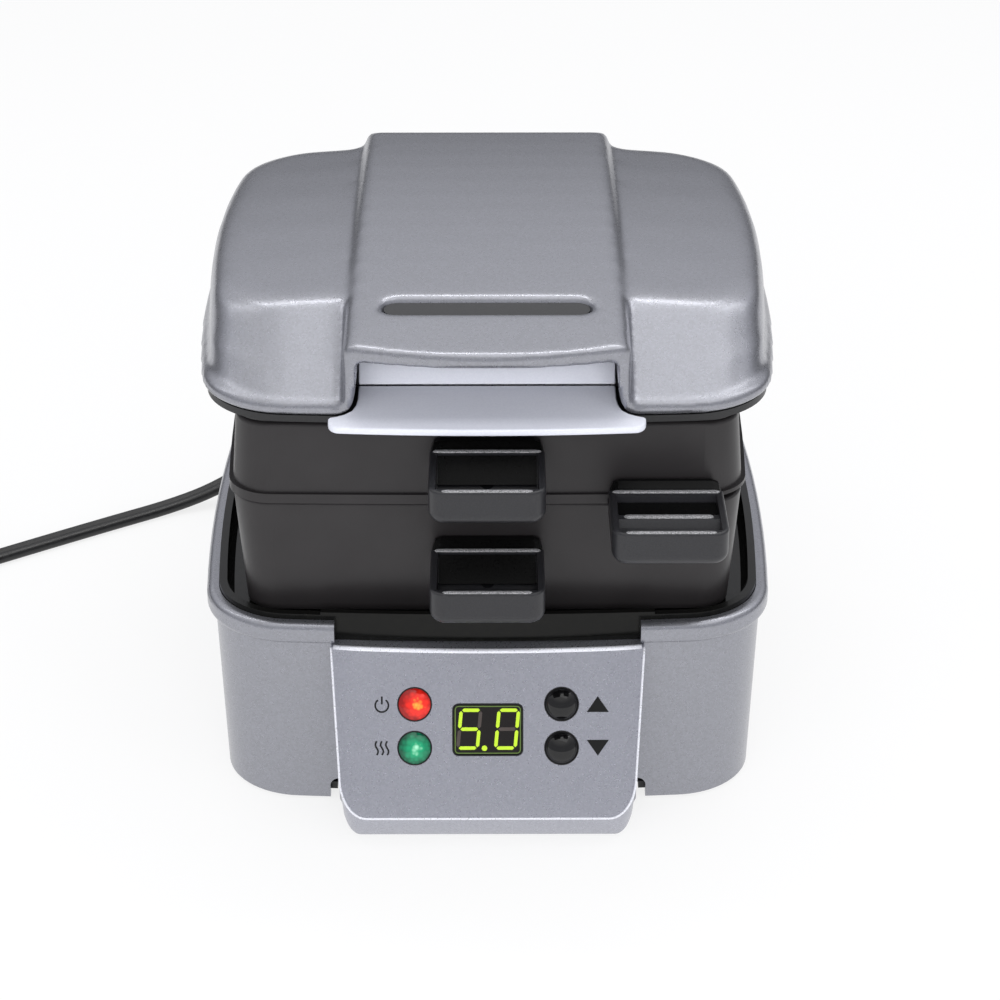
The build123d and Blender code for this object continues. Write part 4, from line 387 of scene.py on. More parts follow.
# ---------------------------------------------------------------- cord bushing
# Strain relief in soft vinyl, pressed into the hinge housing, with rings moulded round its
# taper so that it bends evenly.
BUSHING_AXIS = (96.85, 12.5)
RIB_FIRST_X = -49.0
RIB_LAST_X = -68.0
RIB_COUNT = 7
RIB_FIRST_R = 6.9
RIB_LAST_R = 4.9
RIB_ROUND = 0.14        # a ring's own radius, as a share of its size round the bushing


def new_geometry_tree(name, sockets):
    """A geometry tree with named inputs, its input node and its output node."""
    tree = bpy.data.node_groups.new(name, "GeometryNodeTree")
    tree.interface.new_socket(name="Geometry", in_out="INPUT", socket_type="NodeSocketGeometry")
    for socket_name, kind in sockets:
        tree.interface.new_socket(name=socket_name, in_out="INPUT", socket_type="NodeSocket" + kind)
    tree.interface.new_socket(name="Geometry", in_out="OUTPUT", socket_type="NodeSocketGeometry")
    return tree, add_node(tree, "NodeGroupInput"), add_node(tree, "NodeGroupOutput")


def grown(name, tree, places, material, **values):
    """The tree's result on points at places, as a plain mesh piece with that material."""
    seed = bpy.data.meshes.new(name + "_places")
    seed.from_pydata([tuple(p) for p in places], [], [])
    grower = bpy.data.objects.new(name + "_grower", seed)
    bpy.context.scene.collection.objects.link(grower)
    modifier = grower.modifiers.new("nodes", "NODES")
    modifier.node_group = tree
    named = {item.name: item.identifier for item in tree.interface.items_tree
             if item.in_out == "INPUT"}
    for key, value in {**values, "Material": material}.items():
        modifier[named[key.replace("_", " ")]] = value
    evaluated = grower.evaluated_get(bpy.context.evaluated_depsgraph_get())
    mesh = bpy.data.meshes.new_from_object(evaluated)
    mesh.name = name
    grower.modifiers.clear()
    bpy.data.objects.remove(grower)
    piece = bpy.data.objects.new(name, mesh)
    bpy.context.scene.collection.objects.link(piece)
    return piece


tree, given, result = new_geometry_tree("bushing_rings", [
    ("First Radius", "Float"), ("Last Radius", "Float"), ("Count", "Int"), ("Round", "Float"),
    ("Material", "Material")])
ring_line = add_node(tree, "GeometryNodeCurvePrimitiveCircle",
                     values={"Resolution": 36, "Radius": 1.0})
ring_section = add_node(tree, "GeometryNodeCurvePrimitiveCircle", values={"Resolution": 10},
                        links={"Radius": given.outputs["Round"]})
one_ring = add_node(tree, "GeometryNodeCurveToMesh",
                    links={"Curve": ring_line.outputs[0], "Profile Curve": ring_section.outputs[0]})
index = add_node(tree, "GeometryNodeInputIndex")
last = add_node(tree, "ShaderNodeMath", operation="SUBTRACT", links={0: given.outputs["Count"]},
                values={1: 1.0})
size = add_node(tree, "ShaderNodeMapRange",
                links={"Value": index.outputs[0], "From Max": last.outputs[0],
                       "To Min": given.outputs["First Radius"],
                       "To Max": given.outputs["Last Radius"]})
rings = add_node(tree, "GeometryNodeInstanceOnPoints",
                 links={"Points": given.outputs["Geometry"], "Instance": one_ring.outputs[0],
                        "Scale": size.outputs[0]}, values={"Rotation": (0.0, math.pi / 2, 0.0)})
smooth = add_node(tree, "GeometryNodeSetShadeSmooth", links={"Geometry": rings.outputs[0]})
real = add_node(tree, "GeometryNodeRealizeInstances", links={"Geometry": smooth.outputs[0]})
coloured = add_node(tree, "GeometryNodeSetMaterial",
                    links={"Geometry": real.outputs[0], "Material": given.outputs["Material"]})
tree.links.new(coloured.outputs[0], result.inputs[0])

# Soft moulded vinyl and rubber: matt, slightly dusty black.
soft_rubber = moulded("matt_black_rubber", "#191919", "#242424", 0.68, 0.8, 0.03)
rib_pitch = (RIB_LAST_X - RIB_FIRST_X) / (RIB_COUNT - 1)
rib_places = [Vector((RIB_FIRST_X + k * rib_pitch, *BUSHING_AXIS)) * MM for k in range(RIB_COUNT)]
bushing_rings = grown("bushing_rings", tree, rib_places, soft_rubber, First_Radius=RIB_FIRST_R * MM,
                      Last_Radius=RIB_LAST_R * MM, Count=RIB_COUNT, Round=RIB_ROUND)
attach(bushing_rings, "base")
wears(soft_rubber, "cord_bushing", "rubber_feet")

# ---------------------------------------------------------------- base shell and timer panel
# ABS shell and front panel, sprayed with silver paint: fine aluminium flake under a satin
# clear coat, which runs smoothly from light to dark over the curves and glitters faintly.
FLAKE_MM = 0.4            # real flake is finer, and is drawn this coarse so that it shows
FLAKE_RELIEF_MM = 0.002


def sprayed_silver(name, low, high, roughness, metallic):
    """Silver paint whose flakes differ a little in tone and in shine."""
    material, tree, output = new_material(name)
    flakes = object_pattern(tree, "ShaderNodeTexVoronoi", FLAKE_MM)
    tone = add_node(tree, "ShaderNodeSeparateColor", links={"Color": flakes.outputs["Color"]})
    shader = principled(tree, output, Metallic=metallic, Coat_Weight=0.25, Coat_Roughness=0.2)
    tree.links.new(two_tone(tree, tone.outputs[0], low, high, 0.0, 1.0),
                   shader.inputs["Base Color"])
    tree.links.new(spread(tree, tone.outputs[1], roughness - 0.03, roughness + 0.03),
                   shader.inputs["Roughness"])
    bumped(tree, shader, flakes.outputs["Distance"], FLAKE_RELIEF_MM, 0.04)
    return material


silver_paint = sprayed_silver("sprayed_silver_paint", "#919298", "#9B9CA4", 0.3, 0.82)
# The panel wears a lighter copy of the same silver paint: painted light for the brighter light that
# the panel catches.
panel_paint_painted_light = sprayed_silver("panel_silver_painted_light", "#A6A7B0", "#B2B3BC", 0.3, 0.82)
wears(silver_paint, "base_shell")


def settled(piece, material):
    """Makes a piece's modifiers part of its mesh and gives it its material."""
    evaluated = piece.evaluated_get(bpy.context.evaluated_depsgraph_get())
    mesh = bpy.data.meshes.new_from_object(evaluated)
    piece.modifiers.clear()
    piece.data = mesh
    mesh.materials.clear()
    mesh.materials.append(material)
    for polygon in mesh.polygons:
        polygon.use_smooth = True
    return piece


def modify(piece, name, kind, **settings):
    """Adds a modifier with those settings."""
    modifier = piece.modifiers.new(name, kind)
    for key, value in settings.items():
        setattr(modifier, key, value)


# The panel's face, with rounded lower corners and a fine round at its edge, over a nose that
# turns back to the foot. Its edge runs down the right side, along the bottom, up the left side
# and back along the top.
FACE_ORIGIN = Vector((0.0, -116.4, 32.25))
FACE_X = Vector((1.0, 0.0, 0.0))
FACE_Y = Vector((0.0, 0.4350, 0.9004))
FACE_OUT = Vector((0.0, -0.9004, 0.4350))
FACE_HALF_H = 24.71
FACE_TOP_HALF_W = 45.1
FACE_TAPER = 0.0623
FACE_TOP_DIP = 1.1
FACE_CORNER_START = -12.6
FACE_CORNER_W = 7.8
NOSE_FOOT_Z = 1.0
NOSE_FOOT_Y = -122.2
NOSE_CORNER_Z = 11.5
NOSE_CORNER_W = 5.2
NOSE_INSET = 0.6
CHEEK_DEPTH_TOP = 7.0     # from the face's edge back to the panel's sides, at the top
CHEEK_DEPTH_LOW = 2.4     # and where the lower corners begin
PANEL_REAR_Y = -97.0
SIDE_STEPS = 12
CORNER_STEPS = 12
BOTTOM_STEPS = 14
TOP_STEPS = 11
EDGE_ROUND = 0.55


def on_face(x, y, out=0.0):
    """A point of the panel's face, in metres, from millimetres across, up and out of it."""
    return (FACE_ORIGIN + FACE_X * x + FACE_Y * y + FACE_OUT * out) * MM


def face_half_width(y):
    """Half the face's width at y up the face."""
    return FACE_TOP_HALF_W - FACE_TAPER * (FACE_HALF_H - y)


face_edge, foot_edge = [], []
for step in range(SIDE_STEPS + 1):
    share = step / SIDE_STEPS
    up = FACE_HALF_H + share * (FACE_CORNER_START - FACE_HALF_H)
    place = on_face(face_half_width(up), up)
    face_edge.append(place)
    foot_z = place.z / MM + share * (NOSE_CORNER_Z - (FACE_ORIGIN + FACE_Y * FACE_CORNER_START).z)
    cheek = CHEEK_DEPTH_TOP + (CHEEK_DEPTH_LOW - CHEEK_DEPTH_TOP) * share
    foot_edge.append(Vector((place.x / MM + 0.1, place.y / MM + cheek, foot_z)) * MM)
nose_w = face_edge[-1].x / MM
for step in range(1, CORNER_STEPS + 1):
    turn = math.pi / 2 * step / CORNER_STEPS
    up = FACE_CORNER_START - (FACE_HALF_H + FACE_CORNER_START) * math.sin(turn)
    face_edge.append(on_face(nose_w - FACE_CORNER_W * (1 - math.cos(turn)), up))
    fall = NOSE_CORNER_Z - (NOSE_CORNER_Z - NOSE_FOOT_Z) * math.sin(turn)
    start_y = foot_edge[SIDE_STEPS].y / MM
    foot_edge.append(Vector((nose_w - NOSE_INSET - NOSE_CORNER_W * (1 - math.cos(turn)),
                             start_y + (NOSE_FOOT_Y - start_y) * math.sin(turn), fall)) * MM)
right_face, right_foot = face_edge[-1], foot_edge[-1]
for step in range(1, BOTTOM_STEPS):
    slide = 1 - 2 * step / BOTTOM_STEPS
    face_edge.append(Vector((right_face.x * slide, right_face.y, right_face.z)))
    foot_edge.append(Vector((right_foot.x * slide, right_foot.y, right_foot.z)))
side_count = SIDE_STEPS + CORNER_STEPS + 1
for edge in (face_edge, foot_edge):
    edge += [Vector((-p.x, p.y, p.z)) for p in edge[:side_count][::-1]]
below_top = len(face_edge)
for step in range(1, TOP_STEPS):
    slide = -1 + 2 * step / TOP_STEPS
    place = on_face(slide * face_half_width(FACE_HALF_H),
                    FACE_HALF_H - FACE_TOP_DIP * (1 - slide ** 2))
    face_edge.append(place)
    foot_edge.append(place + Vector((0.0, CHEEK_DEPTH_TOP, 0.4)) * MM)
rear_edge = [Vector((p.x, PANEL_REAR_Y * MM, p.z)) for p in foot_edge]
panel_shell = outwards(mesh_piece("panel_shell", face_edge + foot_edge + rear_edge,
                                  capped(3, len(face_edge)), panel_paint_painted_light, smooth=False))
modify(panel_shell, "edge_round", "BEVEL", width=EDGE_ROUND * MM, segments=3,
       angle_limit=math.radians(24))
settled(panel_shell, panel_paint_painted_light)

# ---------------------------------------------------------------- panel details
# Lamp bezels, button collars, the display's frame, its lit figures and the printed marks.
UPPER_ROW = 8.3
LOWER_ROW = -4.3
LAMP_X = -21.0
BUTTON_X = 21.2
BEZEL_R = 4.8
BEZEL_ROUND = 0.24
BEZEL_STEPS = 48


def circle(radius, steps, x=0.0, y=0.0):
    """A circle's outline round x and y."""
    return [(x + radius * math.cos(2 * math.pi * k / steps),
             y + radius * math.sin(2 * math.pi * k / steps)) for k in range(steps)]


def printed(name, outlines, material, out, thick=0.06):
    """Flat marks on the panel: each outline, in face millimetres, with a small thickness."""
    points, faces = [], []
    for outline in outlines:
        faces += capped(2, len(outline), len(points))
        points += [on_face(x, y, level) for level in (out, out + thick) for x, y in outline]
    piece = mesh_piece(name, points, faces, material, smooth=False)
    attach(outwards(piece), "base")
    return piece


def bezel(name, x, y, material):
    """A round bead on the panel's face round a lamp or a button."""
    section = circle(BEZEL_ROUND, 10)
    points = [on_face(x + (BEZEL_R + reach) * across, y + (BEZEL_R + reach) * up, out)
              for across, up in circle(1.0, BEZEL_STEPS) for reach, out in section]
    faces = bridged(BEZEL_STEPS, len(section), closed=True)
    piece = outwards(mesh_piece(name, points, faces, material))
    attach(piece, "base")
    return piece


def polished(name, colour, roughness=0.06):
    """Polished moulded acrylic or ABS with a faint sink ripple."""
    material, tree, output = new_material(name)
    ripple = object_pattern(tree, "ShaderNodeTexNoise", 6.0, Detail=1.0)
    shader = principled(tree, output, Base_Color=linear(colour), IOR=1.5)
    tree.links.new(spread(tree, ripple.outputs["Fac"], roughness * 0.7, roughness * 1.4),
                   shader.inputs["Roughness"])
    bumped(tree, shader, ripple.outputs["Fac"], 0.03, 0.15)
    return material


# Painted highlights along the panel's edges: a pale bead along the top and a fine pale line down
# both sides and along the bottom stand in for the light that these edges catch.
TOP_BEAD_R = 0.9
EDGE_LINE_R = 0.36
EDGE_LINE_INSET = 0.12
painted_highlight_silver = sprayed_silver("bright_edge_silver", "#DADBE2", "#E4E5EC", 0.3, 0.4)
bead_ends = [place + Vector((inwards, 0.68, -0.5)) * MM
             for place, inwards in ((face_edge[0], -0.8), (face_edge[below_top - 1], 0.8))]
bead_path = [p + FACE_OUT * -0.75 * MM + FACE_Y * -0.2 * MM for p in face_edge[below_top:][::-1]]
top_bead = swept("panel_top_bead", [bead_ends[0], *bead_path, bead_ends[1]],
                 circle(TOP_BEAD_R * MM, 16), painted_highlight_silver)
line_path = [p + Vector((-math.copysign(EDGE_LINE_INSET, p.x), 0.02, 0.0)) * MM
             for p in face_edge[:below_top]]
edge_line = swept("panel_edge_line", line_path, circle(EDGE_LINE_R * MM, 8), painted_highlight_silver)
for bright_edge in (top_bead, edge_line):
    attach(bright_edge, "base")

# Holes for the lamps, the buttons and the display's window.
HOLE_R = 4.75
HOLE_DEPTH = 6.0
WINDOW_HOLE_HALF_W = 9.75
WINDOW_HOLE_HALF_H = 7.15
WINDOW_ROW = 0.95
hole_outlines = [circle(HOLE_R, 48, x, y) for x in (LAMP_X, BUTTON_X)
                 for y in (UPPER_ROW, LOWER_ROW)]
hole_outlines.append([(across * WINDOW_HOLE_HALF_W, WINDOW_ROW + up * WINDOW_HOLE_HALF_H)
                      for across, up in ((1, 1), (-1, 1), (-1, -1), (1, -1))])
holes = printed("panel_holes", hole_outlines, panel_paint_painted_light, -HOLE_DEPTH, 2 * HOLE_DEPTH)
modify(panel_shell, "holes", "BOOLEAN", operation="DIFFERENCE", object=holes)
settled(panel_shell, panel_paint_painted_light)
bpy.data.objects.remove(holes)
panel_shell.data.set_sharp_from_angle(angle=math.radians(40))
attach(panel_shell, "base")
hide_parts("front_panel")
black_gloss = polished("polished_black_abs", "#0A0A0B")
wears(black_gloss, "up_button", "down_button", "display_module", "button_switches")
for bezel_name, x, y in (("power_bezel", LAMP_X, UPPER_ROW), ("ready_bezel", LAMP_X, LOWER_ROW),
                         ("up_collar", BUTTON_X, UPPER_ROW), ("down_collar", BUTTON_X, LOWER_ROW)):
    bezel(bezel_name, x, y, black_gloss)

# Lamp lenses: clear tinted acrylic domes over a lit bulb, with a dimpled back that breaks the
# light up into facets.
FACET_MM = 1.3
BULB_OUT = 0.6


def lamp_lens(name, node, row, bulb_x, dark, tint, hot, glow):
    """A lit, faceted lens: bright round the bulb, and darker to its rim."""
    material, tree, output = new_material(name)
    coordinates = add_node(tree, "ShaderNodeTexCoord")
    bulb = on_face(LAMP_X + bulb_x, row, BULB_OUT)
    away = add_node(tree, "ShaderNodeVectorMath", operation="DISTANCE",
                    links={0: coordinates.outputs["Object"]}, values={1: tuple(bulb)})
    facets = object_pattern(tree, "ShaderNodeTexVoronoi", FACET_MM)
    broken = add_node(tree, "ShaderNodeMath", operation="MULTIPLY_ADD",
                      links={0: facets.outputs["Distance"], 2: away.outputs["Value"]},
                      values={1: 1.6 * MM})
    near = add_node(tree, "ShaderNodeMapRange", links={"Value": broken.outputs[0]},
                    values={"From Min": 0.4 * MM, "From Max": 5.4 * MM,
                            "To Min": 1.0, "To Max": 0.0})
    glass = ramped(tree, near.outputs[0], (0.0, dark), (0.55, tint), (0.96, hot))
    shader = principled(tree, output, Roughness=0.07, IOR=1.49, Emission_Strength=glow)
    tree.links.new(glass, shader.inputs["Base Color"])
    tree.links.new(glass, shader.inputs["Emission Color"])
    bumped(tree, shader, facets.outputs["Distance"], 0.25, 0.25)
    wears(material, node)


lamp_lens("lit_red_acrylic", "power_lens", UPPER_ROW, 1.0, "#7A0C0A", "#D8261A", "#FFB040", 0.42)
lamp_lens("lit_green_acrylic", "ready_lens", LOWER_ROW, 0.3, "#03402C", "#168A60", "#B4ECCC", 0.28)

# Display: a smoked acrylic window with a bevelled dark frame. In it stand two slanted
# seven-bar figures and a point; the bars that are off show as dull brown.
WINDOW_HALF_W = 9.9
WINDOW_HALF_H = 7.3
PANE_OUT = 0.12
FRAME_W = 0.7
FRAME_RISE = 0.35
BAR_REACH = 5.6           # from a figure's left bars to its right ones
BAR_RISE = 5.45           # from its top bar to its middle one
BAR_THICK = 1.0
BAR_GAP = 0.24
FIGURE_SLANT = math.tan(math.radians(5.3))
FIGURE_CENTRES = (-5.3, 5.55)
FIGURE_Y = WINDOW_ROW + 0.2
LIT_BARS = ("top", "upper_left", "middle", "lower_right", "bottom"), (
    "top", "upper_left", "upper_right", "lower_left", "lower_right", "bottom")
POINT_PLACE = (-0.95, WINDOW_ROW - 5.3)
POINT_R = 0.8


def bar_outline(centre_x, bar):
    """One bar of a figure: a long hexagon with mitred ends, slanted as the figure is."""
    across = {"top": 2, "middle": 0, "bottom": -2}
    if bar in across:
        middle, turned = (0.0, BAR_RISE * across[bar] / 2), False
        reach = BAR_REACH / 2 - BAR_GAP
    else:
        row, column = bar.split("_")
        middle = (BAR_REACH / 2 * (1 if column == "right" else -1),
                  BAR_RISE / 2 * (1 if row == "upper" else -1))
        reach, turned = BAR_RISE / 2 - BAR_GAP, True
    half = BAR_THICK / 2
    shape = [(-reach, 0), (-reach + half, -half), (reach - half, -half), (reach, 0),
             (reach - half, half), (-reach + half, half)]
    if turned:
        shape = [(y, x) for x, y in shape]
    return [(centre_x + middle[0] + x + FIGURE_SLANT * (middle[1] + y), FIGURE_Y + middle[1] + y)
            for x, y in shape]


def glowing(name, colour, strength):
    """Emission in that colour, a little uneven: the lit bars' own light, and a painted glow on the
    off bars and the window's edge line.
    """
    material, tree, output = new_material(name)
    cloud = object_pattern(tree, "ShaderNodeTexNoise", 2.5, Detail=1.0)
    shader = principled(tree, output, Base_Color=linear(colour), Roughness=0.5)
    shader.inputs["Emission Color"].default_value = linear(colour)
    tree.links.new(spread(tree, cloud.outputs["Fac"], strength * 0.85, strength * 1.1),
                   shader.inputs["Emission Strength"])
    return material


smoked_acrylic = polished("smoked_acrylic", "#0E0A07", 0.05)
lit_bar = glowing("lit_yellow_green_resin", "#A4C41C", 0.26)
# The off bars glow faintly: painted light that lets them show dull brown behind the smoked pane.
off_bar_painted_glow = glowing("unlit_resin_painted_glow", "#3C3430", 0.08)
all_bars = ("top", "middle", "bottom", "upper_left", "upper_right", "lower_left", "lower_right")
lit_outlines, dull_outlines = [], []
for centre_x, lit in zip(FIGURE_CENTRES, LIT_BARS):
    for bar in all_bars:
        (lit_outlines if bar in lit else dull_outlines).append(bar_outline(centre_x, bar))
lit_outlines.append(circle(POINT_R, 24, *POINT_PLACE))
printed("lit_figures", lit_outlines, lit_bar, PANE_OUT)
printed("unlit_bars", dull_outlines, off_bar_painted_glow, PANE_OUT)


def rounded_corner_points(half_w, half_h, radius, steps=6):
    """A rounded rectangle's outline in face millimetres, round the window's centre."""
    outline = []
    for corner, (sx, sy) in enumerate(((1, 1), (-1, 1), (-1, -1), (1, -1))):
        for step in range(steps + 1):
            angle = math.pi / 2 * (corner + step / steps)
            outline.append((sx * (half_w - radius) + radius * math.cos(angle),
                            WINDOW_ROW + sy * (half_h - radius) + radius * math.sin(angle)))
    return outline


def frame_ring(name, profile, material):
    """A closed moulding round the window: profile pairs are how far beyond its edge, and out."""
    loops = [[on_face(x, y, out) for x, y in rounded_corner_points(
        WINDOW_HALF_W + beyond, WINDOW_HALF_H + beyond, 1.5 + beyond)] for beyond, out in profile]
    faces = bridged(len(loops), len(loops[0]), closed=True)
    piece = outwards(mesh_piece(name, sum(loops, []), faces, material, smooth=False))
    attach(piece, "base")
    return piece


frame_ring("display_frame", [(-0.3, -0.3), (-0.3, 0.14), (-0.1, FRAME_RISE),
                                     (0.15, FRAME_RISE), (FRAME_W - 0.35, -0.05)], black_gloss)
pane_outline = rounded_corner_points(WINDOW_HALF_W - 0.2, WINDOW_HALF_H - 0.2, 1.3)
pane = printed("display_pane", [pane_outline], smoked_acrylic, PANE_OUT - 1.0, 0.99)
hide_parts("display_window")
# A faint green glowing line round the inside of the frame is a painted reflection of the lit
# figures on the window's edge.
painted_green_glow_line = glowing("green_edge_light", "#4E6624", 0.08)
green_section = [(-0.7, PANE_OUT - 0.02), (-0.7, PANE_OUT + 0.03), (-0.42, PANE_OUT + 0.03),
                 (-0.42, PANE_OUT - 0.02)]
frame_ring("display_edge_line", green_section, painted_green_glow_line)

# Printed marks: black pad-printing ink, two arrowheads beside the buttons and two plain signs
# beside the lamps.
MARK_X = 31.6
MARK_HALF_W = 3.2
MARK_HALF_H = 2.3
SIGN_X = -30.4
SIGN_R = 1.9
STROKE = 0.5
print_ink = moulded("black_pad_print", "#060606", "#0C0C0C", 0.8, 0.6, 0.01)
arrowheads = [[(MARK_X - MARK_HALF_W, row - tip), (MARK_X + MARK_HALF_W, row - tip),
               (MARK_X, row + tip)]
              for row, tip in ((UPPER_ROW, MARK_HALF_H), (LOWER_ROW, -MARK_HALF_H))]
printed("arrowheads", arrowheads, print_ink, 0.0)


def stroke(places, width):
    """A pen stroke along places as one closed outline."""
    left, right = [], []
    for index, place in enumerate(places):
        ahead = Vector(places[min(index + 1, len(places) - 1)])
        behind = Vector(places[max(index - 1, 0)])
        normal = (ahead - behind).normalized().orthogonal() * width / 2
        left.append(tuple(Vector(place) + normal))
        right.append(tuple(Vector(place) - normal))
    return left + right[::-1]


switch_sign = [(SIGN_X + SIGN_R * math.sin(math.radians(turn)),
                UPPER_ROW - 0.3 + SIGN_R * math.cos(math.radians(turn)))
               for turn in range(35, 326, 10)]
heat_waves = [[(SIGN_X + offset + 0.4 * math.sin(rise / 10 * math.pi), LOWER_ROW - 2.0 + rise * 0.2)
               for rise in range(0, 21, 2)] for offset in (-1.5, 0.0, 1.5)]
switch_bar = [(SIGN_X, UPPER_ROW), (SIGN_X, UPPER_ROW + 2.3)]
signs = [stroke(line, STROKE) for line in (switch_sign, switch_bar, *heat_waves)]
printed("lamp_signs", signs, print_ink, 0.0)

# ---------------------------------------------------------------- lid cover
# One ABS moulding with soft, generous radii where the strap, its legs and the rim's bead run
# into each other. The legs' feet flare outwards round the tab.
SOFT_VOXEL = 1.0
SOFT_PASSES = 13
SHOULDER_PASSES = 90
SHOULDER_LOW_Z = 136.0
STRAP_HALF_W = 39.5
LEG_INNER_X = 36.0
LID_RIM_Z = 126.0
FLARE_W = 5.5
FLARE_H = 9.5
FLARE_STEPS = 8
FLARE_BACK_Y = -62.0
FLARE_FRONT_Y = -95.0


def solid_copy(name, node):
    """A CAD node's mesh as a new object with its corners merged."""
    mesh = bmesh.new()
    mesh.from_mesh(nodes[node].data)
    bmesh.ops.remove_doubles(mesh, verts=mesh.verts, dist=0.001 * MM)
    bmesh.ops.recalc_face_normals(mesh, faces=mesh.faces)
    data = bpy.data.meshes.new(name)
    mesh.to_mesh(data)
    mesh.free()
    piece = bpy.data.objects.new(name, data)
    bpy.context.scene.collection.objects.link(piece)
    return piece


lid_shell = solid_copy("lid_shell", "lid_cover")
cutters = []
for sign, cutter_name in ((-1, "left_flare"), (1, "right_flare")):
    corner = (LEG_INNER_X + FLARE_W, LID_RIM_Z + FLARE_H)
    outline = [(sign * (LEG_INNER_X - 1), LID_RIM_Z - 1), (sign * (corner[0] + 0.2), LID_RIM_Z - 1)]
    for step in range(FLARE_STEPS + 1):
        lean = math.pi / 2 * (1 - step / FLARE_STEPS)
        outline.append((sign * (corner[0] - FLARE_W * math.cos(lean)),
                        corner[1] - FLARE_H * math.sin(lean)))
    outline.append((sign * (LEG_INNER_X - 1), corner[1]))
    points = [Vector((x, STACK_Y + y, z)) * MM
              for y in (FLARE_FRONT_Y, FLARE_BACK_Y) for x, z in outline]
    cutters.append(outwards(mesh_piece(cutter_name, points, capped(2, len(outline)),
                                       silver_paint, smooth=False)))
    modify(lid_shell, cutter_name, "BOOLEAN", operation="DIFFERENCE", object=cutters[-1])
settled(lid_shell, silver_paint)
for cutter in cutters:
    bpy.data.objects.remove(cutter)
modify(lid_shell, "remesh", "REMESH", mode="VOXEL", voxel_size=SOFT_VOXEL * MM)
modify(lid_shell, "soften", "SMOOTH", factor=0.5, iterations=SOFT_PASSES)
settled(lid_shell, silver_paint)
shoulder = lid_shell.vertex_groups.new(name="shoulder")
for vertex in lid_shell.data.vertices:
    beside = eased(STRAP_HALF_W + 0.8, STRAP_HALF_W + 3.5, abs(vertex.co.x / MM))
    high = eased(SHOULDER_LOW_Z, SHOULDER_LOW_Z + 4.0, vertex.co.z / MM)
    shoulder.add([vertex.index], beside * high, "REPLACE")
modify(lid_shell, "rounding", "SMOOTH", factor=0.5, iterations=SHOULDER_PASSES,
       vertex_group="shoulder")
settled(lid_shell, silver_paint)
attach(lid_shell, "lid")
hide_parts("lid_cover")

# The slot's floor, set parallel to the strap, is a dark plate: painted shade for the shadow inside
# the slot.
SLOT_Y = -61.0
SLOT_HALF_L = 28.7
SLOT_HALF_W = 3.6
SLOT_DEPTH = 1.2
SLOT_FLOOR_T = 0.8
slot_edges = []
for side in (-1, 1):
    edge_y = STACK_Y + SLOT_Y + side * (SLOT_HALF_W + 2.5)
    _, place, _, _ = lid_shell.ray_cast(Vector((0.0, edge_y * MM, 0.3)), Vector((0, 0, -1)))
    slot_edges.append(place)
slot_slope = (slot_edges[1].z - slot_edges[0].z) / (slot_edges[1].y - slot_edges[0].y)
slot_floor_z = (slot_edges[0].z + slot_edges[1].z) / 2 / MM - SLOT_DEPTH
shaded_paint = sprayed_silver("shaded_silver_paint", "#141416", "#1A1A1D", 0.4, 0.1)
slot_outline = [(sign * (SLOT_HALF_L - SLOT_HALF_W + SLOT_HALF_W * math.sin(math.radians(turn))),
                 sign * SLOT_HALF_W * math.cos(math.radians(turn)))
                for sign in (1, -1) for turn in range(0, 181, 15)]
points = [Vector((x, STACK_Y + SLOT_Y + y, z + slot_slope * y)) * MM
          for z in (slot_floor_z - SLOT_FLOOR_T, slot_floor_z) for x, y in slot_outline]
slot_floor = outwards(mesh_piece("slot_floor", points, capped(2, len(slot_outline)), shaded_paint,
                                 smooth=False))
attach(slot_floor, "lid")

# ---------------------------------------------------------------- lifting tab
# Satin silver tongue screwed to the lid's liner, smoother than the sprayed shells; its pale tone is
# partly its own satin paint and partly painted light for the bright light it catches.
# Its riser stands at the back of the strap's recess, and its front spreads into two wings.
TAB_SEAM = 0.25
TAB_T = 2.0
TAB_BACK_Y = -70.5
TAB_BACK_Z = 131.0
TAB_FRONT_Y = -92.0
TAB_FRONT_Z = 127.4
TAB_STEM_X = 35.7
TAB_WING_X = 43.4
TAB_BOW = 1.2
TAB_CORNER = 3.2
RISER_T = 1.9
RISER_TOP_Y = -66.2
RISER_TOP_Z = 138.0
TAB_FLARE = [(35.7, -77.0), (36.1, -80.0), (37.1, -82.6), (39.0, -84.3), (41.2, -85.3),
             (43.0, -85.8)]


def tab_height(y):
    """Height of the tab's top at y."""
    return TAB_BACK_Z + (TAB_FRONT_Z - TAB_BACK_Z) * (y - TAB_BACK_Y) / (TAB_FRONT_Y - TAB_BACK_Y)


right_edge = [(TAB_STEM_X, TAB_BACK_Y - TAB_SEAM)] + TAB_FLARE + [(TAB_WING_X, -86.4)]
for step in range(7):
    angle = math.pi / 2 * step / 6
    right_edge.append((TAB_WING_X - TAB_CORNER + TAB_CORNER * math.cos(angle),
                       TAB_FRONT_Y + TAB_BOW + TAB_CORNER - TAB_CORNER * math.sin(angle)))
front_edge = [(x, TAB_FRONT_Y + TAB_BOW * (x / (TAB_WING_X - TAB_CORNER)) ** 2)
              for x in (32.0, 24.0, 16.0, 8.0, 0.0, -8.0, -16.0, -24.0, -32.0)]
plan = right_edge + front_edge + [(-x, y) for x, y in right_edge[::-1]]
points = [Vector((x, y + STACK_Y, tab_height(y) - drop)) * MM
          for drop in (0.0, TAB_T) for x, y in plan]
riser = [(-TAB_STEM_X, TAB_BACK_Y, TAB_BACK_Z), (TAB_STEM_X, TAB_BACK_Y, TAB_BACK_Z),
         (TAB_STEM_X, RISER_TOP_Y, RISER_TOP_Z), (-TAB_STEM_X, RISER_TOP_Y, RISER_TOP_Z)]
faces = capped(2, len(plan)) + capped(2, len(riser), len(points))
points += [Vector((x, y + STACK_Y + back, z - drop)) * MM
           for back, drop in ((0.0, 0.0), (RISER_T, 0.4)) for x, y, z in riser]
